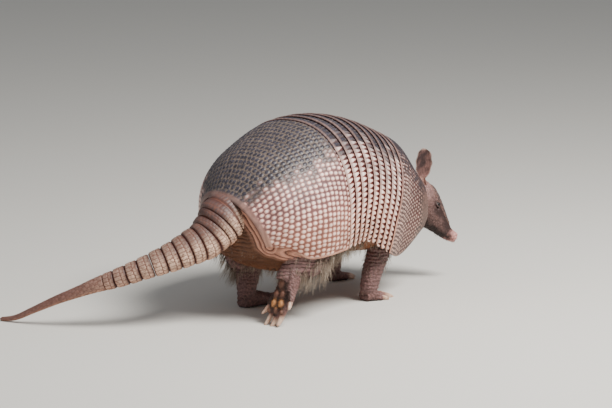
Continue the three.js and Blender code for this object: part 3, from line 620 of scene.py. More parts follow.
def ring_piece(number, start, end):
    """One ring: a row of small scutes in front, a row of larger ones to its flared rear rim."""
    length = end - start
    s = np.linspace(start, end, max(int(length / 0.6), 12))
    radius = interpolate(TAIL, (start + end) / 2)[0, 3]
    count = round(2 * math.pi * radius / 4.6)
    columns = count * 7
    angles = np.linspace(0, 2 * math.pi, columns, endpoint=False)
    seen = max(start, -TAIL_SEEN)
    shown = 2 if number == 1 else 1
    u = shown * np.clip((s - seen) / (end - seen), 0, 1)
    u = np.where(u < shown, np.mod(u, 1), 1)[:, None] + 0 * angles
    v = angles[None, :] * count / (2 * math.pi) + 0 * s[:, None]
    back = u > 0.42
    y = np.where(back, v, v + 0.5)
    tone = hashed(np.floor(y), back + 2 * number, 5)
    across = np.abs(y - np.floor(y) - 0.5)
    lengthwise = np.where(back, np.abs((u - 0.70) / 0.28), np.abs((u - 0.22) / 0.20))
    cell = smooth(0, 0.16, 0.5 - across) * smooth(0, 0.3, 1 - lengthwise)
    keel = np.where(back, np.exp(-(across / 0.13) ** 2), 0.0)
    relief = cell * (0.75 + 0.25 * keel)
    ends = 1 - np.exp(-(u / 0.06) ** 2) + 0 * u
    swell = radius / 27
    bulge = 2.4 * np.sin(math.pi * np.clip(0.12 + 0.80 * u, 0, 1)) ** 0.8 * (0.55 + 0.45 * u) - 1.0
    raised = bulge * swell + 0.6 * (relief - 0.6) - 0.9 * (1 - ends) - 0.8 * smooth(0.9, 1.0, u) * swell
    points, faces = capped_tube(tail_rings(s, raised, angles))
    fields = {"relief": relief, "tone": tone, "ring": u, "top": np.cos(angles)[None, :] + 0 * u,
              "along": np.full(u.shape, max(start, 0) / 288)}
    values = {key: np.r_[np.broadcast_to(v, u.shape).ravel(), 0, 0] for key, v in fields.items()}
    piece = build_mesh(f"tail_ring_{number}_scutes", points, faces, values)
    return finish_piece(piece, "tail_scutes", f"tail_ring_{number}")


def tip_piece(start):
    """The end of the tail: small keeled scales in rings that shorten to the tip."""
    end = TAIL[-1, 0]
    s = np.linspace(start, end, 240)
    angles = np.linspace(0, 2 * math.pi, 72, endpoint=False)
    run = s - start
    row = (run / 5.2 * (1 + 0.35 * run / (end - start)))[:, None] + 0 * angles
    v = angles[None, :] * 9 / (2 * math.pi) + 0 * s[:, None]
    first, second, _, tone = scutes(row, v, 0.9, jitter=0.0, seed=4)
    tone = hashed(np.floor(row), np.round(v - 0.5 * np.mod(np.floor(row), 2)) % 9, 4)
    relief = np.clip(1 - (first / 0.62) ** 2, 0, 1) ** 0.5 * smooth(0.0, 0.15, second)
    size = np.interp(s, (start, end), (0.55, 0.2))[:, None]
    raised = size * (relief - 0.5) - 1.2 * smooth(end - 3, end, s)[:, None]
    points, faces = capped_tube(tail_rings(s, raised, angles))
    fields = {"relief": relief, "tone": tone, "ring": 0 * relief + 0.5,
              "top": np.cos(angles)[None, :] + 0 * relief, "along": (s / 288)[:, None] + 0 * relief}
    values = {key: np.r_[field.ravel(), 0, 0] for key, field in fields.items()}
    piece = build_mesh("tail_tip_scales", points, faces, values)
    return finish_piece(piece, "tail_scutes", "tail_tip")


def tail_pieces():
    start = 0.0
    pieces = []
    for number, length in enumerate(RING_LENGTHS, 1):
        first = -TAIL_HIDDEN if number == 1 else start + RING_GAP / 2
        pieces.append(ring_piece(number, first, start + length - RING_GAP / 2))
        start += length
    pieces.append(tip_piece(start + RING_GAP / 2))
    return pieces


# ------------------------------------------------------------------ flesh under one skin

VOXEL = 0.85                        # millimetres
REGIONS = ("trunk", "neck", "head", "leg", "foot", "pad")
FOLD = {"width": 4.4, "height": 2.6, "reach": 19}      # skin folds that follow the rim of the shell


def round_angles(count):
    return np.linspace(0, 2 * math.pi, count, endpoint=False)


# millimetres by which the skin behind comes nearer to the shell than the solid does, by t
TRUNK_REACH = ((0, 3, 8, 15, 35), (2, 6, 8, 6, 0))


def trunk_rings():
    t = np.r_[np.linspace(0, 12, 14), np.linspace(14, TRUNK[-1, 0], 58)]
    flesh = interpolate(TRUNK, t)
    flesh[:, 0] -= np.interp(t, *TRUNK_REACH)
    shell = interpolate(SHELL, t)
    rows = np.column_stack([shell[:, :5], shell[:, 5] - flesh[:, 0], shell[:, 6] - flesh[:, 0], flesh[:, 1]])
    rows = np.vstack([RUMP_END, rows])
    along, side, up = section_axes(rows[:, 3], rows[:, 4])
    angles = round_angles(120)
    high = np.where(np.cos(angles) > 0, rows[:, 6:7], rows[:, 7:8])
    return ellipse_rings(rows[:, :3], side, up, rows[:, 5], high, angles, SQUARENESS)


def limb_rings(rows, reference, count=24, segments=48):
    centre, _, side, up, a, b = tube_section(rows, np.linspace(0, 1, count), reference)
    return ellipse_rings(centre, side, up, a, b, round_angles(segments))


def foot_matrix(name):
    """Rotation and place of a foot's own frame: toes along +X, sole at z = 0."""
    _, place, yaw, pitch, _ = FEET[name]
    y, p = math.radians(yaw), math.radians(pitch)
    turn = np.array([(math.cos(y), -math.sin(y), 0), (math.sin(y), math.cos(y), 0), (0, 0, 1)])
    tip = np.array([(math.cos(p), 0, math.sin(p)), (0, 1, 0), (-math.sin(p), 0, math.cos(p))])
    return turn @ tip, np.array(place, float)


def in_foot(name, points):
    turn, place = foot_matrix(name)
    return np.asarray(points, float) @ turn.T + place


def sole_rings(rows):
    keyed = np.array(rows, float)
    x = np.linspace(keyed[0, 0], keyed[-1, 0], 24)
    half, height = interpolate(keyed, x).T
    angles = round_angles(48)
    across, high = squared(np.sin(angles), SOLE_SQUARENESS), squared(np.cos(angles), SOLE_SQUARENESS)
    y = half[:, None] * across
    z = height[:, None] / 2 * (1 + high)
    return np.stack([np.broadcast_to(x[:, None], y.shape), y, z], -1)


def toe_rings(toe, inner):
    """A toe with a raised knuckle near its base and another at the root of its claw."""
    (base_x, base_y), (tip_x, tip_y), radius, _ = toe
    f = np.linspace(0, 1, 16)
    size = radius * np.interp(f, (0, 0.25, 0.5, 0.8, 1), (1.0, 1.06, 0.93, 0.98, 0.72))
    tall = size * np.interp(f, (0, 1), (TOE["knuckle"], 1.0))
    centre = np.stack([base_x + (tip_x - base_x) * f, inner * (base_y + (tip_y - base_y) * f), tall], -1)
    along = np.broadcast_to([tip_x - base_x, inner * (tip_y - base_y), 0], centre.shape)
    _, side, up = cross_axes(along.astype(float), UP)
    return ellipse_rings(centre, side, up, size, tall, round_angles(28))


def ellipsoid_rings(centre, sizes):
    lift = np.linspace(-0.995, 0.995, 12)
    angles = round_angles(24)
    wide = np.sqrt(1 - lift**2)[:, None]
    unit = np.stack([wide * np.cos(angles), wide * np.sin(angles), lift[:, None] + 0 * angles], -1)
    return np.asarray(centre, float) + unit * np.asarray(sizes, float)


# pads under a hind foot: x, y in the foot's frame and half sizes
PADS = [((0.5, 5.6), (4.4, 3.6)), ((-0.5, -5.6), (4.4, 3.6)), ((-10, 5.6), (4.4, 3.4)), ((-11, -3.5), (4.0, 3.2)),
        ((-23, 2), (5.5, 4.6)), ((8, 0), (3.6, 3.0)), ((10, 9.5), (2.8, 2.6)), ((9, -9.5), (2.8, 2.6))]


def rim_tree():
    """Points along the rear and lower rim of the pelvic shield, just inside it."""
    q = np.linspace(-1, 1, 240)
    t = np.linspace(0, 70, 70)
    lines = [shell_points([0.0], q, -2)[0], shell_points(t, np.array([-1.0]), -2)[:, 0],
             shell_points(t, np.array([1.0]), -2)[:, 0]]
    points = np.concatenate(lines)
    tree = kdtree.KDTree(len(points))
    for i, point in enumerate(points):
        tree.insert(point, i)
    tree.balance()
    return tree


def rim_distance(points):
    tree = rim_tree()
    return np.array([tree.find(point)[2] for point in points])


def flesh_parts():
    """Every closed piece of flesh as (region, rings)."""
    parts = [("trunk", trunk_rings()), ("neck", limb_rings(NECK, UP, 14, 80)),
             ("head", limb_rings(HEAD, UP, 60, 80))]
    for name, rows in LIMBS.items():
        parts.append(("leg", limb_rings(rows, FORWARD)))
    for name, (shape, _, _, _, inner) in FEET.items():
        parts.append(("foot", in_foot(name, sole_rings(shape["sole"]))))
        parts += [("foot", in_foot(name, toe_rings(toe, inner))) for toe in shape["toes"]]
        if shape is HIND_FOOT:
            for (x, y), (long, wide) in PADS:
                pad = ellipsoid_rings((x, inner * y, 0.6), (long, wide, 3.0))
                parts.append(("pad", in_foot(name, pad)))
    return parts


def joined(parts):
    points, faces, regions, start = [], [], [], 0
    for region, rings in parts:
        some, more = capped_tube(rings)
        points.append(some)
        faces += [[k + start for k in face] for face in more]
        regions.append(np.full(len(some), REGIONS.index(region)))
        start += len(some)
    return np.concatenate(points), faces, np.concatenate(regions)


def evaluated(piece):
    """Points and faces of the piece with its modifiers, which then go."""
    graph = bpy.context.evaluated_depsgraph_get()
    mesh = bpy.data.meshes.new_from_object(piece.evaluated_get(graph))
    old = piece.data
    piece.modifiers.clear()
    piece.data = mesh
    bpy.data.meshes.remove(old)
    return mesh


def points_of(mesh):
    co = np.empty(len(mesh.vertices) * 3, np.float32)
    mesh.vertices.foreach_get("co", co)
    return co.reshape(-1, 3).astype(float)


def normals_of(mesh):
    normals = np.empty(len(mesh.vertices) * 3, np.float32)
    mesh.vertex_normals.foreach_get("vector", normals)
    return normals.reshape(-1, 3).astype(float)


def edges_of(mesh):
    edges = np.empty(len(mesh.edges) * 2, np.int32)
    mesh.edges.foreach_get("vertices", edges)
    return edges.reshape(-1, 2)


def diffused(values, edges, passes):
    """Values averaged with their neighbours along the mesh's edges."""
    count = np.bincount(edges.ravel(), minlength=len(values))[:, None]
    for _ in range(passes):
        total = np.stack([np.bincount(edges[:, 0], values[edges[:, 1], k], len(values))
                          + np.bincount(edges[:, 1], values[edges[:, 0], k], len(values))
                          for k in range(values.shape[1])], -1)
        values = 0.4 * values + 0.6 * total / np.maximum(count, 1)
    return values


def region_weights(points, edges, source, regions):
    tree = kdtree.KDTree(len(source))
    for i, point in enumerate(source):
        tree.insert(point, i)
    tree.balance()
    nearest = np.array([tree.find(point)[1] for point in points])
    weights = np.eye(len(REGIONS))[regions[nearest]]
    return dict(zip(REGIONS, diffused(weights, edges, 6).T))


def ridges(points, direction, length, seed, wander=0.22):
    """Wrinkles across `direction`: 0 in the furrows, 1 on the ridges."""
    phase = points @ np.asarray(direction, float) / length + wander * waves(points, 16, seed)
    phase = phase + 0.5 * wander * waves(points, 7, seed + 1)
    return np.abs(np.sin(math.pi * phase)) ** 0.7


def scales(points, size, seed=0):
    """Rounded scales: 0 in the seams, 1 on top."""
    first, beyond = worley(points, size, seed)
    return smooth(0.02, 0.3, beyond) * np.clip(1.15 - first, 0, 1)


def head_frame(points):
    """Share along the head and angle from its top, for points near it."""
    f = np.linspace(0, 1, 120)
    centre, _, side, up, a, b = tube_section(HEAD, f, UP)
    tree = kdtree.KDTree(len(f))
    for i, point in enumerate(centre):
        tree.insert(point, i)
    tree.balance()
    nearest = np.array([tree.find(point)[1] for point in points], int)
    offset = points - centre[nearest]
    across = (offset * side[nearest]).sum(-1) / a[nearest]
    high = (offset * up[nearest]).sum(-1) / b[nearest]
    return f[nearest], np.degrees(np.arctan2(across, high))


def leg_relief(points):
    upper = smooth(34, 60, points[:, 2])
    folds = ridges(points, (0.15, 0.1, 1), 4.4, 21)
    bumps = scales(points * (1, 1, 1.3), 3.0, 3)
    return upper * (1.15 * folds + 0.3 * bumps) + (1 - upper) * (0.6 * folds + 0.9 * bumps)


def rim_folds(points):
    """Rolls of skin along the rim, and how near the rim each point is."""
    distance = rim_distance(points)
    near = smooth(FOLD["reach"], 0.5 * FOLD["reach"], distance) * smooth(60, 45, points[:, 0])
    phase = distance / FOLD["width"] + 0.16 * waves(points, 24, 6)
    return near * np.abs(np.sin(math.pi * phase)) ** 0.6, near


def trunk_relief(points):
    rump = smooth(40, 5, points[:, 0])
    folds = 1.3 * rump * ridges(points, (0.1, 0, 1), 4.6, 33)
    folds += 0.8 * (1 - rump) * ridges(points, (1, 0.05, 0), 6.5, 31)
    folds = folds * (0.8 + 0.3 * waves(points, 22, 5)) + 0.35 * scales(points, 3.2, 8)
    rolls, near = rim_folds(points)
    return folds * (1 - near) + FOLD["height"] * (rolls - 0.2 * near)


def neck_relief(points):
    return 0.9 * ridges(points, (0.85, -0.5, 0.1), 6.5, 51) + 0.25 * scales(points, 2.2, 9)


def head_relief(points):
    return 0.75 * scales(points, 2.7, 12) + 0.25 * ridges(points, (0.5, -0.4, -0.75), 4.0, 53)


def foot_relief(points):
    return 0.9 * scales(points * (1, 1, 1.2), 3.2, 14) + 0.35 * ridges(points, (0.7, 0, 0.7), 4.0, 61)


def pad_relief(points):
    return 0.2 * scales(points, 1.6, 15)


# how each region's skin is shaped, and the greatest height of it in millimetres
RELIEFS = {"trunk": (trunk_relief, 1.6), "neck": (neck_relief, 1.1),
           "head": (head_relief, 1.0), "leg": (leg_relief, 1.45), "foot": (foot_relief, 1.2),
           "pad": (pad_relief, 0.2)}


def sculpt(points, weight):
    """Height of the skin's relief, and how raised each point is from 0 to 1."""
    height = np.zeros(len(points))
    top = np.zeros(len(points))
    for region, (relief, highest) in RELIEFS.items():
        there = np.nonzero(weight[region] > 0.01)[0]
        height[there] += weight[region][there] * relief(points[there])
        top += weight[region] * highest
    return height, np.clip(height / top, 0, 1)


def face_features(points):
    """How far to press in the mouth line, nostrils and eye sockets."""
    f, angle = head_frame(points)
    press = 0.9 * np.exp(-((np.abs(angle) - 128 + 10 * f) / 7) ** 2) * smooth(0.42, 0.55, f)
    for side in (-1, 1):
        nostril = head_points(0.965, side * 58, -0.4)
        press += 1.7 * np.exp(-(np.linalg.norm(points - nostril, axis=1) / 1.25) ** 2)
        eye = EYE_CENTRE["left" if side > 0 else "right"]
        away = np.linalg.norm(points - eye, axis=1)
        press += 1.3 * np.exp(-(away / 4.2) ** 4) - 0.55 * np.exp(-((away - 5.9) / 0.9) ** 2)
    return press


def srgb(red, green, blue):
    share = np.array((red, green, blue)) / 255
    return np.where(share <= 0.04045, share / 12.92, ((share + 0.055) / 1.055) ** 2.4)


# the rump colour and the furrow and crease darkening below are painted shade, not the skin's own colour
SKIN_COLOURS = {
    "trunk": srgb(150, 98, 68), "rump": srgb(96, 58, 34), "fold": srgb(204, 146, 124), "furrow_shade": srgb(110, 50, 34),
    "neck": srgb(160, 120, 110), "cheek": srgb(154, 118, 112), "face": srgb(58, 40, 38), "nose": srgb(216, 156, 148),
    "leg": srgb(132, 100, 97), "foot": srgb(128, 95, 91), "toe": srgb(176, 132, 124), "sole": srgb(56, 38, 32),
    "pad": srgb(196, 136, 86), "callus": srgb(104, 70, 56), "crease": np.array((0.30, 0.20, 0.18)),
}


def blended(base, colour, share):
    return base * (1 - share[:, None]) + colour * share[:, None]


def head_tint(points):
    c = SKIN_COLOURS
    f, angle = head_frame(points)
    side = np.abs(angle)
    cloud = 0.03 * waves(points, 9, 2)
    tint = blended(np.tile(c["cheek"], (len(points), 1)), c["face"], smooth(0.18, 0.40, f + cloud))
    tint = blended(tint, c["cheek"], 0.45 * smooth(58, 88, side + 300 * cloud) * smooth(0.74, 0.5, f))
    tint = blended(tint, c["face"] * 0.3, 0.9 * smooth(104, 128, side + 300 * cloud))
    return blended(tint, c["nose"], smooth(0.70, 0.86, f + cloud + 0.02 * waves(points, 4, 3)))


def foot_tint(points):
    c = SKIN_COLOURS
    tint = np.tile(c["foot"], (len(points), 1))
    for name in FEET:
        turn, place = foot_matrix(name)
        local = (points - place) @ turn
        near = (np.abs(local) < (45, 22, 30)).all(1)
        tint = blended(tint, c["toe"], near * smooth(0, 9, local[:, 0]) * smooth(1, 4, local[:, 2]) * 0.8)
        tint = blended(tint, c["sole"], near * smooth(2.4, 0.6, local[:, 2]))
    return tint


def pad_tint(points):
    """The two pads behind the toes are the palest."""
    c = SKIN_COLOURS
    pale = np.zeros(len(points))
    for name in FEET:
        turn, place = foot_matrix(name)
        local = (points - place) @ turn
        near = (np.abs(local) < (45, 22, 30)).all(1)
        pale = np.maximum(pale, near * smooth(7, 4, np.abs(local[:, 0])))
    return blended(np.tile(c["callus"], (len(points), 1)), c["pad"], pale)


def trunk_tint(points):
    c = SKIN_COLOURS
    # darker towards the rear: painted shade on the skin under the tail and shell
    tint = blended(np.tile(c["trunk"], (len(points), 1)), c["rump"], smooth(60, 25, points[:, 0]))
    rolls, near = rim_folds(points)
    return blended(tint, c["fold"], near * (0.25 + 0.75 * rolls))


TINTS = {"trunk": trunk_tint, "head": head_tint, "foot": foot_tint, "pad": pad_tint}
# how strongly each region's furrows are darkened, as painted shade
FURROW_SHADE = {"trunk": 0.55, "neck": 0.6, "head": 0.8, "leg": 0.95, "foot": 0.85, "pad": 0.2}


def hollows(points, normals, edges):
    """How deep each point lies in a crease of the skin: 0 on open skin, 1 well inside."""
    around = diffused(points, edges, 14)
    return smooth(0.05, 1.1, ((around - points) * normals).sum(-1))


def skin_tint(points, weight, raised):
    tint = np.zeros((len(points), 3))
    for region in REGIONS:
        there = np.nonzero(weight[region] > 0.005)[0]
        colour = TINTS[region](points[there]) if region in TINTS else SKIN_COLOURS[region]
        tint[there] += weight[region][there, None] * colour
    # painted shade in the furrows: the low points of the relief are darkened
    depth = sum(weight[k] * FURROW_SHADE[k] for k in REGIONS) * (1 - raised)
    tint = blended(tint, tint * 0.25 + SKIN_COLOURS["furrow_shade"] * 0.08, depth)
    return tint * (1 + 0.10 * waves(points, 9, 77) + 0.06 * waves(points, 3, 78))[:, None]


def thin_out_hidden(piece, points):
    """Fewer triangles where the shell hides the trunk."""
    group = piece.vertex_groups.new(name="hidden")
    centre = interpolate(SHELL, np.linspace(0, SHELL_FRONT, 131))
    height = points[:, 2] - np.interp(points[:, 0], centre[:, 0], centre[:, 2])
    inside = (height > 6) & (points[:, 0] > 26) & (points[:, 0] < centre[-1, 0] - 40)
    group.add(np.nonzero(inside)[0].tolist(), 1.0, "REPLACE")
    modifier = piece.modifiers.new("thin", "DECIMATE")
    modifier.vertex_group = "hidden"
    modifier.ratio = 1 - 0.93 * inside.mean()
    modifier.use_collapse_triangulate = True


def skin_piece():
    source, faces, regions = joined(flesh_parts())
    piece = build_mesh("skin", source, faces)
    modifier = piece.modifiers.new("union", "REMESH")
    modifier.mode = "VOXEL"
    modifier.voxel_size = VOXEL * MM
    evaluated(piece)
    thin_out_hidden(piece, (points_of(piece.data) - SHIFT) / MM)
    soften = piece.modifiers.new("soften", "SMOOTH")
    soften.factor, soften.iterations = 0.5, 4
    mesh = evaluated(piece)
    points = (points_of(mesh) - SHIFT) / MM
    edges = edges_of(mesh)
    weight = region_weights(points, edges, source, regions)
    height, raised = sculpt(points, weight)
    face = np.nonzero(weight["head"] > 0.01)[0]
    height[face] -= face_features(points[face]) * np.clip(weight["head"][face] * 1.5, 0, 1)
    normals = normals_of(mesh)
    points = points + normals * (height - 0.5)[:, None]
    points[:, 2] = np.maximum(points[:, 2], 0)
    crease = hollows(points, normals, edges)
    tint = skin_tint(points, weight, raised)
    # painted shade in the creases: the tint is darkened by how deep each point lies
    tint = blended(tint, tint * SKIN_COLOURS["crease"], crease)
    roots = {"points": points, "normals": normals, "weight": weight}
    parts = [(points, [list(p.vertices) for p in mesh.polygons], tint, raised)]
    parts += [ear_part("left"), ear_part("right"), lid_part("left"), lid_part("right")]
    piece.data = merged_mesh("skin", parts)
    bpy.data.meshes.remove(mesh)
    nodes = ["trunk", "neck", "head", "ear_left", "ear_right", *LIMBS, *FEET]
    return finish_piece(piece, "skin", *nodes), roots


def merged_mesh(name, parts):
    """One mesh of several (points, faces, tint, raised) parts."""
    faces, start = [], 0
    for points, some, _, _ in parts:
        faces += [[k + start for k in face] for face in some]
        start += len(points)
    mesh = bpy.data.meshes.new(name)
    mesh.from_pydata(placed(np.concatenate([p[0] for p in parts])).tolist(), [], faces)
    tint = np.column_stack([np.concatenate([p[2] for p in parts]), np.ones(start)])
    mesh.attributes.new("tint", "FLOAT_COLOR", "POINT").data.foreach_set("color", tint.astype(np.float32).ravel())
    raised = np.concatenate([p[3] for p in parts]).astype(np.float32)
    mesh.attributes.new("relief", "FLOAT", "POINT").data.foreach_set("value", raised)
    turn_outwards(mesh)
    mesh.shade_smooth()
    return mesh


# ------------------------------------------------------------------ ears, lids, eyes, head shield


def ear_frame(side):
    centre, _, across, up, _, _ = tube_section(HEAD, EAR_BASE["along"], UP)
    sign = 1 if side == "left" else -1
    base = centre[0] + across[0] * sign * EAR_BASE["side"] + up[0] * EAR_BASE["up"]
    turn, tilt, lean = (math.radians(angle) for angle in EAR_POSE[side])
    heading = math.radians(HEAD_YAW) + turn
    stand = Matrix.Rotation(heading, 3, "Z") @ Matrix.Rotation(tilt, 3, "Y") @ Matrix.Rotation(lean, 3, "X")
    return base, np.array(stand)


def ear_part(side):
    """Leathery leaf: pebbled behind, folded inside, with a paler rim that is partly its own colour and partly a
    painted highlight; painted shade darkens its hollow and the seams between its bumps.
    """
    base, turn = ear_frame(side)
    up = (-0.06 + 1.06 * np.sin(np.linspace(0, math.pi / 2, 80)))[:, None]
    across = np.sin(np.linspace(-math.pi / 2, math.pi / 2, 41))[None, :]
    taper = 1 - ((up - EAR["widest"]) / EAR["spread"]) ** 2
    blade = EAR["half"] * np.sqrt(np.maximum(taper, EAR["point"]))
    half = np.maximum(blade, EAR["stalk"] * (1 - up)) + 1.2 * smooth(0.06, -0.06, up)
    half = half * np.sqrt(np.clip(1 - (np.maximum(up - 0.9, 0) / 0.1005) ** 2, 0, 1))
    hollow = EAR["cup"] * across**2 * half / EAR["half"]
    curl = 2.2 * smooth(0.45, 0.1, up) * np.abs(across) ** 3
    edge = 1 + 0.05 * np.sin(up * 23 + 1.2 * across) * np.abs(across) ** 3
    y = half * across * (1 - 0.12 * smooth(0.45, 0.1, up)) * edge
    z = up * EAR["height"] + 0 * across
    middle = hollow + curl + EAR["thickness"] / 2
    thick = EAR["thickness"] * (0.28 + 0.72 * np.sqrt(np.clip(1 - across**2, 0, 1))) * (1 + 0.8 * smooth(0.3, 0, up))
    sheets, reliefs = [], []
    for sign, seed in ((1, 3), (-1, 9)):
        flat = np.stack([middle, y, z], -1).reshape(-1, 3)
        bumps = scales(flat, 2.2, seed).reshape(z.shape)
        folds = ridges(flat, (0, 1, 0.15), 2.8, seed, 0.3).reshape(z.shape)
        bump = bumps if sign < 0 else 0.5 * bumps + 0.5 * folds
        sheets.append(np.stack([middle + sign * (thick / 2 + 0.3 * (bump - 0.5)), y, z], -1))
        reliefs.append(bump)
    points = np.concatenate([sheet.reshape(-1, 3) for sheet in sheets]) @ turn.T + base
    rows, columns = z.shape
    faces = [*grid_faces(rows, columns).tolist(), *(grid_faces(rows, columns) + rows * columns).tolist()]
    border = [np.arange(columns), np.arange(rows) * columns, np.arange(rows) * columns + columns - 1,
              np.arange(columns) + (rows - 1) * columns]
    for line in border:
        faces += stitch(line.tolist(), (line + rows * columns).tolist())
    relief = np.concatenate([r.ravel() for r in reliefs])
    rim = np.maximum(smooth(0.82, 0.98, np.abs(across)) + 0 * up, smooth(0.93, 0.99, up) + 0 * across)
    rim = np.tile(rim.ravel(), 2)
    ahead = np.tile((across + 0 * up).ravel(), 2) * (1 if side == "right" else -1)
    high = np.tile((up + 0 * across).ravel(), 2)
    # painted shade: the upper blade stays dark towards one edge as its shaded hollow, and is lighter towards the
    # other edge and the base, with random mottling
    patch = 0.5 * smooth(-0.2, 0.9, ahead) + 0.6 * smooth(0.62, 0.2, high) + 0.25 * waves(points, 11, 44)
    tint = blended(np.tile(srgb(60, 40, 39), (len(points), 1)), srgb(144, 104, 97), np.clip(patch, 0, 1))
    # the pale rim is partly the ear's own colour and partly a painted highlight
    tint = blended(tint, srgb(206, 176, 164), 0.55 * rim)
    tint = blended(tint, srgb(206, 160, 146), 0.7 * smooth(0.24, 0.06, high))
    # painted shade between the bumps: lower relief is darker, with a random mottling on top
    tint = tint * (0.45 + 0.6 * relief)[:, None] * (1 + 0.12 * waves(points, 6, 4))[:, None]
    return points, faces, tint, relief


def eye_axes(side):
    """Outwards from the eye, towards the nose, and up across the lids."""
    sign = 1 if side == "left" else -1
    out = head_points(EYE["along"], sign * EYE["angle"], 4) - EYE_CENTRE[side]
    out /= np.linalg.norm(out)
    ahead = head_points(EYE["along"] + 0.03, sign * EYE["angle"]) - head_points(EYE["along"] - 0.03, sign * EYE["angle"])
    ahead -= out * (ahead @ out)
    ahead /= np.linalg.norm(ahead)
    up = np.cross(out, ahead) * -sign
    return out, ahead, up


def lid_part(side):
    """Upper and lower lids: a roll about an almond opening over the eyeball."""
    out, ahead, up = eye_axes(side)
    angles = round_angles(72)
    u = 3.0 * np.cos(angles)
    v = 2.05 * np.sin(angles) * (1 - 0.25 * np.cos(angles) ** 2)
    size = 0.75 + 0.25 * smooth(-0.2, 0.8, np.sin(angles))
    distance = np.hypot(u, v)
    radius = EYE["radius"] + 0.25
    high = np.sqrt(np.clip(radius**2 - distance**2, 0.9, None))
    middle = EYE_CENTRE[side] + u[:, None] * ahead + v[:, None] * up + high[:, None] * out
    outward = (u[:, None] * ahead + v[:, None] * up) / distance[:, None]
    turns = round_angles(14)
    rings = (middle[:, None, :] + outward[:, None, :] * (size[:, None] * (0.75 + 1.1 * np.cos(turns)))[..., None]
             + out * (size[:, None] * 0.5 * np.sin(turns))[..., None]
             - out * (size[:, None] * 0.65 * (1 + np.cos(turns)))[..., None])
    rows, columns = rings.shape[:2]
    points = rings.reshape(-1, 3)
    faces = grid_faces(rows, columns, closed=True).tolist()
    last = (rows - 1) * columns
    faces += [(last + k, last + (k + 1) % columns, (k + 1) % columns, k) for k in range(columns)]
    relief = np.full(len(points), 0.6)
    tint = np.tile(srgb(70, 50, 47), (len(points), 1)) * (1 + 0.15 * waves(points, 2.5, 6))[:, None]
    edge = np.tile(smooth(-0.2, -0.9, np.cos(turns)), rows)
    return points, faces, blended(tint, srgb(40, 28, 26), 0.8 * edge), relief


def eye_piece(side):
    mesh = bpy.data.meshes.new(f"eyeball_{side}")
    ball = bmesh.new()
    bmesh.ops.create_uvsphere(ball, u_segments=40, v_segments=28, radius=EYE["radius"] * MM)
    bmesh.ops.translate(ball, verts=ball.verts, vec=Vector(placed(EYE_CENTRE[side])))
    ball.to_mesh(mesh)
    ball.free()
    piece = bpy.data.objects.new(f"eyeball_{side}", mesh)
    bpy.context.scene.collection.objects.link(piece)
    mesh.shade_smooth()
    return finish_piece(piece, "eye", f"eye_{side}")


def head_shield_piece():
    """Small flat scutes over the forehead and the bridge of the snout."""
    share = np.linspace(0, 1, 110)[:, None]
    across = np.linspace(-1, 1, 91)[None, :]
    narrow = np.sqrt(1 - (share - HEAD_SHIELD["widest"]) ** 2 * HEAD_SHIELD["taper"])
    along = HEAD_SHIELD["from"] + (HEAD_SHIELD["to"] - HEAD_SHIELD["from"]) * share + 0 * across
    angle = across * HEAD_SHIELD["angle"] * narrow
    flat = head_points(along, angle)
    first, beyond = worley(flat.reshape(-1, 3) * (1, 1, 0.9), 4.2, 31)
    relief = (smooth(0.02, 0.2, beyond) * np.clip(1.2 - 0.8 * first, 0, 1)).reshape(along.shape)
    inside = smooth(0, 0.14, 1 - np.abs(across)) * smooth(0, 0.1, np.minimum(share, 1 - share))
    raised = 0.15 + 0.75 * inside + 0.55 * relief * inside
    outer = head_points(along, angle, raised)
    inner = head_points(along, angle, -0.8)[::10, ::10]
    points, faces = plate(outer, inner)
    values = {"relief": np.r_[(relief * inside).ravel(), np.zeros(inner.shape[0] * inner.shape[1])]}
    piece = build_mesh("head_shield_scutes", points, faces, values)
    return finish_piece(piece, "head_scutes", "head_shield")


# ------------------------------------------------------------------ claws


def claw_piece(node, foot, toe, inner):
    """A long curved claw with a rounded ridge, its tip on the floor."""
    (base_x, base_y), (tip_x, tip_y), radius, length = toe
    heading = math.atan2(inner * (tip_y - base_y), tip_x - base_x)
    ahead = np.array([math.cos(heading), math.sin(heading), 0])
    share = np.linspace(0, 1, 28)
    run = share * (length + CLAW["sunk"]) - CLAW["sunk"]
    height = radius * CLAW["rise"] - length * CLAW["fall"] * share**2
    centre = np.array([tip_x, inner * tip_y, 0]) + run[:, None] * ahead + height[:, None] * np.array(UP)
    taper = CLAW["tip"] + (1 - CLAW["tip"]) * np.sqrt(1 - share ** CLAW["taper"])
    taper = taper * np.where(share > 0.9, 1 - 0.5 * ((share - 0.9) / 0.1) ** 2, 1)
    angles = round_angles(24)
    under = np.where(np.cos(angles) < 0, 0.8, 1.0)
    side = np.tile([-math.sin(heading), math.cos(heading), 0.0], (len(share), 1))
    up = np.tile(np.array(UP, float), (len(share), 1))
    rings = ellipse_rings(centre, side, up, radius * CLAW["width"] * CLAW_SLIM * taper,
                          (radius * CLAW["height"] * taper)[:, None] * under, angles, 2.3)
    rings = in_foot(foot, rings)
    rings[..., 2] = np.maximum(rings[..., 2], 0)
    points, faces = capped_tube(rings)
    along = np.r_[np.repeat(share, len(angles)), 0, 1]
    piece = build_mesh(f"{node}_horn", points, faces, {"along": along})
    return finish_piece(piece, "claw", node)


def claw_pieces():
    pieces = []
    for foot, (shape, _, _, _, inner) in FEET.items():
        pair, side = foot.replace("foot_", " ").split()
        for i, toe in enumerate(shape["toes"], 1):
            pieces.append(claw_piece(f"claw_{pair}_{side}_{i}", foot, toe, inner))
    return pieces


# ------------------------------------------------------------------ hair


def inner_shell_tree():
    """The shell as a thin sheet, to keep hairs from growing through it."""
    t, q = np.linspace(0, SHELL_FRONT, 110), np.linspace(-1, 1, 91)
    sheet = shell_points(t, q, -1.2).reshape(-1, 3)
    return bvhtree.BVHTree.FromPolygons(sheet.tolist(), grid_faces(len(t), len(q)).tolist())


def skirt_height(x):
    """Height of the shell's lower edge above the floor, by x."""
    row = interpolate(SHELL, np.linspace(0, SHELL_FRONT, 60))
    return np.interp(x, row[:, 0], row[:, 2] - row[:, 7])


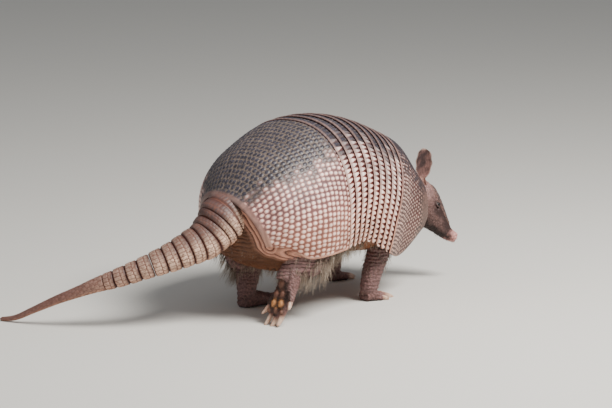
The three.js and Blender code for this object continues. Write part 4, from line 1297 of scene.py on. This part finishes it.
def hair_growth(points, normals, weight):
    """How many hairs grow at each point, how long they are, and how dark."""
    x, y, z = points.T
    below = smooth(14, 2, z - skirt_height(x)) * smooth(20, 45, x)
    outer = smooth(0.15, -0.3, normals[:, 2]) * 0.35 + smooth(16, 40, np.abs(y)) * 0.65
    flank = (weight["trunk"] + weight["leg"]) * below * outer * smooth(24, 40, z)
    rump = weight["trunk"] * smooth(30, 8, x) * 0.16
    legs = weight["leg"] * (0.10 + 0.5 * smooth(30, 48, z))
    chest = weight["neck"] * smooth(0.2, -0.4, normals[:, 2]) * 0.5
    jaw = weight["head"] * (0.10 + 0.55 * smooth(0.1, -0.5, normals[:, 2]))
    feet = weight["foot"] * 0.05
    clumps = 0.25 + smooth(-0.2, 0.6, waves(points, 15, 91))
    fringe = flank * smooth(34, 64, x) * (0.14 + smooth(165, 128, x))
    many = (1.2 * fringe + rump + legs + chest) * clumps + jaw + feet
    long = 3.4 + 7.5 * fringe + 2.5 * flank + 2 * legs
    long = long * (1 - 0.4 * np.clip(weight["head"] + weight["foot"], 0, 1))
    return many, long, np.clip(3 * jaw, 0, 0.95)


def hair_chart(points, weight):
    """Each point's place on an unwrap of the skin: trunk, head and four legs side by side."""
    x, y, z = points.T
    u = np.clip((x + 30) / 345, 0, 1) * 0.58 + 0.01
    v = (np.arctan2(y + 5, z - 80) / (2 * math.pi) + 0.5) * 0.58 + 0.01
    f, angle = head_frame(points)
    on_head = weight["head"] > 0.5
    u = np.where(on_head, 0.62 + 0.36 * f, u)
    v = np.where(on_head, 0.02 + 0.5 * (angle / 360 + 0.5), v)
    number = (y > -10) + 2 * (x > 150)
    on_leg = (weight["leg"] + weight["foot"] + weight["pad"]) > 0.5
    middle_x = np.choose(number, (60, 85, 195, 238))
    middle_y = np.choose(number, (-60, 32, -58, 40))
    turn = np.arctan2(y - middle_y, x - middle_x) / (2 * math.pi) + 0.5
    u = np.where(on_leg, 0.01 + 0.245 * number + 0.22 * turn, u)
    v = np.where(on_leg, 0.62 + 0.36 * np.clip(z / 110, 0, 1), v)
    return np.stack([u, v], -1)


def hair_piece(name, roots, count, strands, source):
    """Tufts of thin tapered hairs, each a closed three-sided horn."""
    points, normals, weight = roots["points"], roots["normals"], roots["weight"]
    many, long, _ = hair_growth(points, normals, weight)
    picked = source.choice(len(points), count, p=many / many.sum())
    at, out = points[picked], normals[picked]
    local = {key: value[picked] for key, value in weight.items()}
    _, length, darkness_share = hair_growth(at, out, local)
    length = length * source.uniform(0.6, 1.25, count)
    flow = np.array((-0.5, 0, -0.95)) + source.normal(scale=0.22, size=(count, 3))
    flow = flow - out * np.minimum((flow * out).sum(-1), 0)[:, None]
    lean = flow + out * source.uniform(0.22, 0.6, count)[:, None]
    lean /= np.linalg.norm(lean, axis=1, keepdims=True)
    tree = inner_shell_tree()
    clear = np.array([tree.ray_cast(Vector(p), Vector(d), float(k))[0] is None
                      for p, d, k in zip(at - out * 0.2, lean, length)])
    covered = np.array([tree.ray_cast(Vector(p), Vector(d), 9.0)[0] is not None for p, d in zip(at, out)])
    clear &= ~covered | (source.random(count) < 0.5)
    at, out, lean, length = at[clear], out[clear], lean[clear], length[clear]
    tone, darkness_share = source.random(len(at)), darkness_share[clear]
    chart = hair_chart(at, {key: value[clear] for key, value in local.items()})
    steps = np.linspace(0, 1, 5)
    all_points, all_faces, along, tones, darks, places = [], [], [], [], [], []
    corners = round_angles(3)
    for i in range(len(at)):
        for _ in range(strands):
            begin = at[i] - out[i] * 0.5 + source.normal(scale=0.55, size=3)
            size = length[i] * source.uniform(0.8, 1.1)
            bend = np.array((-0.12, 0, -0.28)) + source.normal(scale=0.10, size=3)
            stray = lean[i] + source.normal(scale=0.07, size=3)
            line = begin + size * (steps[:, None] * stray + steps[:, None] ** 2 * bend)
            _, side, up = cross_axes(np.gradient(line, axis=0), (0.3, 0.9, 0.3))
            thick = HAIR_THICKNESS * min(1, 0.45 + length[i] / 14) * (1 - 0.8 * steps)
            ring = ellipse_rings(line, side, up, thick, thick, corners).reshape(-1, 3)
            ring[:, 2] = np.maximum(ring[:, 2], 0)
            start = len(all_points) * len(ring)
            all_points.append(ring)
            all_faces.append(STRAND_FACES + start)
            along.append(np.repeat(steps, 3))
            tones.append(np.full(len(ring), tone[i]))
            darks.append(np.full(len(ring), darkness_share[i]))
            places.append(chart[i] + 0.0013 * np.tile(np.stack([np.cos(corners), np.sin(corners)], -1), (5, 1)))
    faces = np.concatenate(all_faces).tolist()
    ends = [[k * 15 + 2, k * 15 + 1, k * 15] for k in range(len(all_points))]
    tips = [[k * 15 + 12, k * 15 + 13, k * 15 + 14] for k in range(len(all_points))]
    fields = {"along": np.concatenate(along), "tone": np.concatenate(tones), "dark": np.concatenate(darks)}
    piece = build_mesh(name, np.concatenate(all_points), faces + ends + tips, fields)
    unwrap(piece.data, np.concatenate(places))
    return finish_piece(piece, "skin")


HAIR_THICKNESS = 0.2                # millimetres, radius at the root
STRAND_FACES = grid_faces(5, 3, closed=True)


def unwrap(mesh, places):
    layer = mesh.uv_layers.new(name="OFBake")
    corner_points = np.empty(len(mesh.loops), np.int32)
    mesh.loops.foreach_get("vertex_index", corner_points)
    layer.data.foreach_set("uv", places[corner_points].astype(np.float32).ravel())


# ------------------------------------------------------------------ materials


class Shader:
    """A material whose nodes are made one line at a time."""

    def __init__(self, name):
        self.material = bpy.data.materials.new(name)
        self.material.use_nodes = True
        self.tree = self.material.node_tree
        self.surface = self.tree.nodes["Principled BSDF"]
        self.place = self.node("ShaderNodeTexCoord").outputs["Object"]

    def node(self, kind, **settings):
        node = self.tree.nodes.new(kind)
        for key, value in settings.items():
            setattr(node, key, value)
        return node

    def feed(self, value, socket):
        if isinstance(value, bpy.types.NodeSocket):
            self.tree.links.new(value, socket)
        elif socket.type == "RGBA":
            socket.default_value = (*value, 1.0)
        else:
            socket.default_value = value

    def field(self, name):
        return self.node("ShaderNodeAttribute", attribute_name=name).outputs["Fac"]

    def tint(self, name):
        return self.node("ShaderNodeAttribute", attribute_name=name).outputs["Color"]

    def sum(self, operation, first, second=0.0):
        node = self.node("ShaderNodeMath", operation=operation)
        self.feed(first, node.inputs[0])
        self.feed(second, node.inputs[1])
        return node.outputs[0]

    def span(self, value, low, high, to_low=0.0, to_high=1.0):
        node = self.node("ShaderNodeMapRange", interpolation_type="SMOOTHSTEP")
        for socket, number in zip(node.inputs, (value, low, high, to_low, to_high)):
            self.feed(number, socket)
        return node.outputs[0]

    def mix(self, share, first, second, blend="MIX"):
        node = self.node("ShaderNodeMix", data_type="RGBA", blend_type=blend)
        self.feed(share, node.inputs[0])
        self.feed(first, node.inputs[6])
        self.feed(second, node.inputs[7])
        return node.outputs[2]

    def grey(self, value):
        node = self.node("ShaderNodeCombineColor")
        for socket in node.inputs:
            self.feed(value, socket)
        return node.outputs[0]

    def noise(self, scale, detail=3.0, roughness=0.55):
        node = self.node("ShaderNodeTexNoise")
        self.feed(self.place, node.inputs["Vector"])
        node.inputs["Scale"].default_value = scale
        node.inputs["Detail"].default_value = detail
        node.inputs["Roughness"].default_value = roughness
        return node.outputs["Fac"]

    def finish(self, colour, roughness, height, depth, specular=0.35):
        bump = self.node("ShaderNodeBump")
        bump.inputs["Strength"].default_value = 1.0
        bump.inputs["Distance"].default_value = depth * MM
        self.feed(height, bump.inputs["Height"])
        self.feed(bump.outputs["Normal"], self.surface.inputs["Normal"])
        self.feed(colour, self.surface.inputs["Base Color"])
        self.feed(roughness, self.surface.inputs["Roughness"])
        self.surface.inputs["Specular IOR Level"].default_value = specular
        return self.material


def carapace_material():
    shade = Shader("carapace")
    relief, tone, dark, low = (shade.field(name) for name in ("relief", "tone", "dark", "low"))
    front, rim = shade.field("front"), shade.field("rim")
    blotch = shade.noise(480, 4, 0.7)
    slate = shade.mix(shade.span(blotch, 0.42, 0.6), srgb(40, 37, 47), srgb(70, 66, 76))
    # painted dome shading: each scute is lighter towards its raised middle and darker pink at its edge
    boss = shade.mix(shade.span(relief, 0.55, 1.0), srgb(206, 152, 138), srgb(255, 236, 227))
    boss = shade.mix(shade.sum("MULTIPLY", low, 0.45), boss, srgb(240, 190, 164))
    boss = shade.mix(shade.sum("MULTIPLY", front, 0.8), boss, srgb(150, 118, 106))
    boss = shade.mix(dark, boss, slate)
    groove = shade.mix(low, srgb(112, 78, 78), srgb(148, 90, 72))
    groove = shade.mix(dark, groove, shade.mix(shade.span(blotch, 0.36, 0.56), srgb(52, 46, 50), srgb(116, 102, 92)))
    groove = shade.mix(shade.span(front, 0.0, 0.4), groove, srgb(56, 37, 33))
    pit = shade.mix(dark, srgb(84, 40, 36), srgb(58, 50, 54))
    level = shade.sum("SUBTRACT", relief, shade.sum("MULTIPLY", front, 0.14))
    colour = shade.mix(shade.span(level, 0.0, 0.12), pit, groove)
    colour = shade.mix(shade.span(level, 0.17, 0.52), colour, boss)
    border = shade.mix(low, srgb(150, 114, 104), srgb(206, 152, 128))
    border = shade.mix(shade.sum("MULTIPLY", dark, 0.5), border, srgb(104, 90, 86))
    border = shade.mix(shade.span(relief, 0.15, 0.5), shade.mix(0.45, border, srgb(96, 52, 44)), border)
    colour = shade.mix(rim, colour, border)
    cloud = shade.span(shade.noise(28), 0.3, 0.7, 0.84, 1.08)
    colour = shade.mix(1.0, colour, shade.grey(shade.sum("MULTIPLY", cloud, shade.span(tone, 0, 1, 0.86, 1.08))),
                       "MULTIPLY")
    fine = shade.noise(900, 4)
    roughness = shade.span(fine, 0.3, 0.7, 0.36, 0.56)
    return shade.finish(colour, roughness, fine, 0.12, 0.5)


def tail_material():
    shade = Shader("tail_scutes")
    relief, tone, ring, top, along = (shade.field(n) for n in ("relief", "tone", "ring", "top", "along"))
    pale = shade.mix(shade.span(along, 0.15, 0.75), srgb(238, 200, 174), srgb(138, 98, 88))
    dusk = shade.sum("MULTIPLY", shade.span(top, -0.1, 0.7), shade.span(along, 0.5, 0.0, 0.35, 1.0))
    pale = shade.mix(dusk, pale, srgb(88, 68, 66))
    under = shade.span(top, -0.3, -0.9, 0.0, 0.5)
    pale = shade.mix(under, pale, srgb(206, 146, 112))
    speck = shade.span(shade.noise(380, 5, 0.75), 0.45, 0.64)
    pale = shade.mix(shade.sum("MULTIPLY", speck, 0.8), pale, srgb(112, 72, 58))
    colour = shade.mix(shade.span(relief, 0.05, 0.6), srgb(112, 72, 60), pale)
    # painted shade at both ends of each ring, where the rings overlap: darkest at its front, tucked under the ring
    # before, and darker at its rear rim
    colour = shade.mix(shade.span(ring, 0.3, 0.0), colour, srgb(66, 34, 30))
    colour = shade.mix(shade.span(ring, 0.86, 1.0, 0.0, 0.6), colour, srgb(96, 54, 44))
    colour = shade.mix(1.0, colour, shade.grey(shade.span(tone, 0, 1, 0.84, 1.08)), "MULTIPLY")
    fine = shade.noise(900, 4)
    return shade.finish(colour, shade.span(fine, 0.3, 0.7, 0.42, 0.6), fine, 0.1, 0.45)


def skin_material(name="skin"):
    shade = Shader(name)
    fine = shade.noise(1100, 5, 0.65)
    colour = shade.mix(1.0, shade.tint("tint"), shade.grey(shade.span(fine, 0.25, 0.75, 0.82, 1.12)), "MULTIPLY")
    shade.surface.inputs["Subsurface Weight"].default_value = 0.06
    shade.surface.inputs["Subsurface Radius"].default_value = (0.004, 0.002, 0.001)
    return shade.finish(colour, shade.span(fine, 0.3, 0.7, 0.48, 0.68), fine, 0.15)


def head_scute_material():
    shade = Shader("head_scutes")
    colour = shade.mix(shade.span(shade.field("relief"), 0.05, 0.5), srgb(110, 82, 74), srgb(70, 55, 54))
    fine = shade.noise(1000, 4)
    return shade.finish(colour, 0.5, fine, 0.1)


def claw_material():
    shade = Shader("claw")
    along = shade.field("along")
    streak = shade.noise(260, 3)
    colour = shade.mix(shade.span(streak, 0.35, 0.7), srgb(214, 184, 162), srgb(172, 130, 108))
    colour = shade.mix(shade.span(along, 0.6, 0.15), colour, srgb(132, 92, 82))
    return shade.finish(colour, 0.32, streak, 0.1, 0.5)


def hair_material():
    shade = Shader("hair")
    along, tone, dark = (shade.field(name) for name in ("along", "tone", "dark"))
    pale = shade.mix(tone, srgb(192, 176, 158), srgb(110, 88, 72))
    pale = shade.mix(dark, pale, srgb(54, 40, 36))
    colour = shade.mix(shade.span(along, 0.6, 0.0), pale, srgb(84, 62, 50))
    return shade.finish(colour, 0.5, shade.noise(300), 0.0, 0.4)


def eye_material():
    shade = Shader("eye")
    shade.surface.inputs["Coat Weight"].default_value = 0.1
    shade.surface.inputs["Coat Roughness"].default_value = 0.12
    return shade.finish(srgb(16, 11, 9), 0.3, shade.noise(60), 0.0, 0.25)


def dress(pieces, material):
    for piece in pieces:
        piece.data.materials.clear()
        piece.data.materials.append(material)


# ------------------------------------------------------------------ the whole animal

skin, skin_roots = skin_piece()
shell = [pelvic_piece(), shoulder_piece(), *(band_piece(number) for number in range(1, BAND_COUNT + 1))]
dress(shell, carapace_material())
dress(tail_pieces(), tail_material())
dress([skin], skin_material())
dress([head_shield_piece()], head_scute_material())
dress(claw_pieces(), claw_material())
dress([eye_piece("left"), eye_piece("right")], eye_material())
dress([hair_piece("hair", skin_roots, 2200, 3, random)], hair_material())

# ------------------------------------------------------------------ floor, light and camera


def floor_piece():
    mesh = bpy.data.meshes.new("floor")
    reach = 6.0
    mesh.from_pydata([(-reach, -reach, 0), (reach, -reach, 0), (reach, reach, 0), (-reach, reach, 0)], [], [(0, 1, 2, 3)])
    floor = bpy.data.objects.new("floor", mesh)
    bpy.context.scene.collection.objects.link(floor)
    shade = Shader("floor")
    dress([floor], shade.finish(srgb(214, 212, 206), 0.8, shade.noise(40), 0.0, 0.2))


def area_light(name, direction, distance, size, power, colour):
    """A soft square light that looks at the animal's middle."""
    middle = placed((140, -10, 90))
    direction = np.array(direction) / np.linalg.norm(direction)
    data = bpy.data.lights.new(name, "AREA")
    data.shape, data.size, data.energy, data.color = "SQUARE", size, power, colour
    light = bpy.data.objects.new(name, data)
    bpy.context.scene.collection.objects.link(light)
    light.location = middle + direction * distance
    light.rotation_euler = Vector(direction).to_track_quat("Z", "Y").to_euler()


def world_light(strength):
    world = bpy.data.worlds.new("studio")
    world.use_nodes = True
    world.node_tree.nodes["Background"].inputs["Color"].default_value = (0.93, 0.96, 1.0, 1)
    world.node_tree.nodes["Background"].inputs["Strength"].default_value = strength
    bpy.context.scene.world = world


def photo_camera():
    """The photograph's view: behind and to the right of the animal, a little above it."""
    back = Vector((-0.75197, -0.63098, 0.19081))
    right = Vector((0, 0, 1)).cross(back).normalized()
    up = back.cross(right)
    data = bpy.data.cameras.new("photo")
    data.lens, data.sensor_width, data.clip_end = 185.3, 36, 30
    camera = bpy.data.objects.new("photo", data)
    bpy.context.scene.collection.objects.link(camera)
    turn = Matrix((right, up, back)).transposed().to_4x4()
    camera.matrix_world = Matrix.Translation(Vector((-2.6631, -2.3256, 0.8001))) @ turn
    bpy.context.scene.camera = camera


floor_piece()
world_light(0.27)
area_light("key", (0.05, -0.6, 0.8), 1.7, 0.75, 64, (1.0, 0.97, 0.93))
area_light("fill", (-0.9, 0.4, 0.5), 2.2, 1.6, 5, (0.95, 0.97, 1.0))
photo_camera()
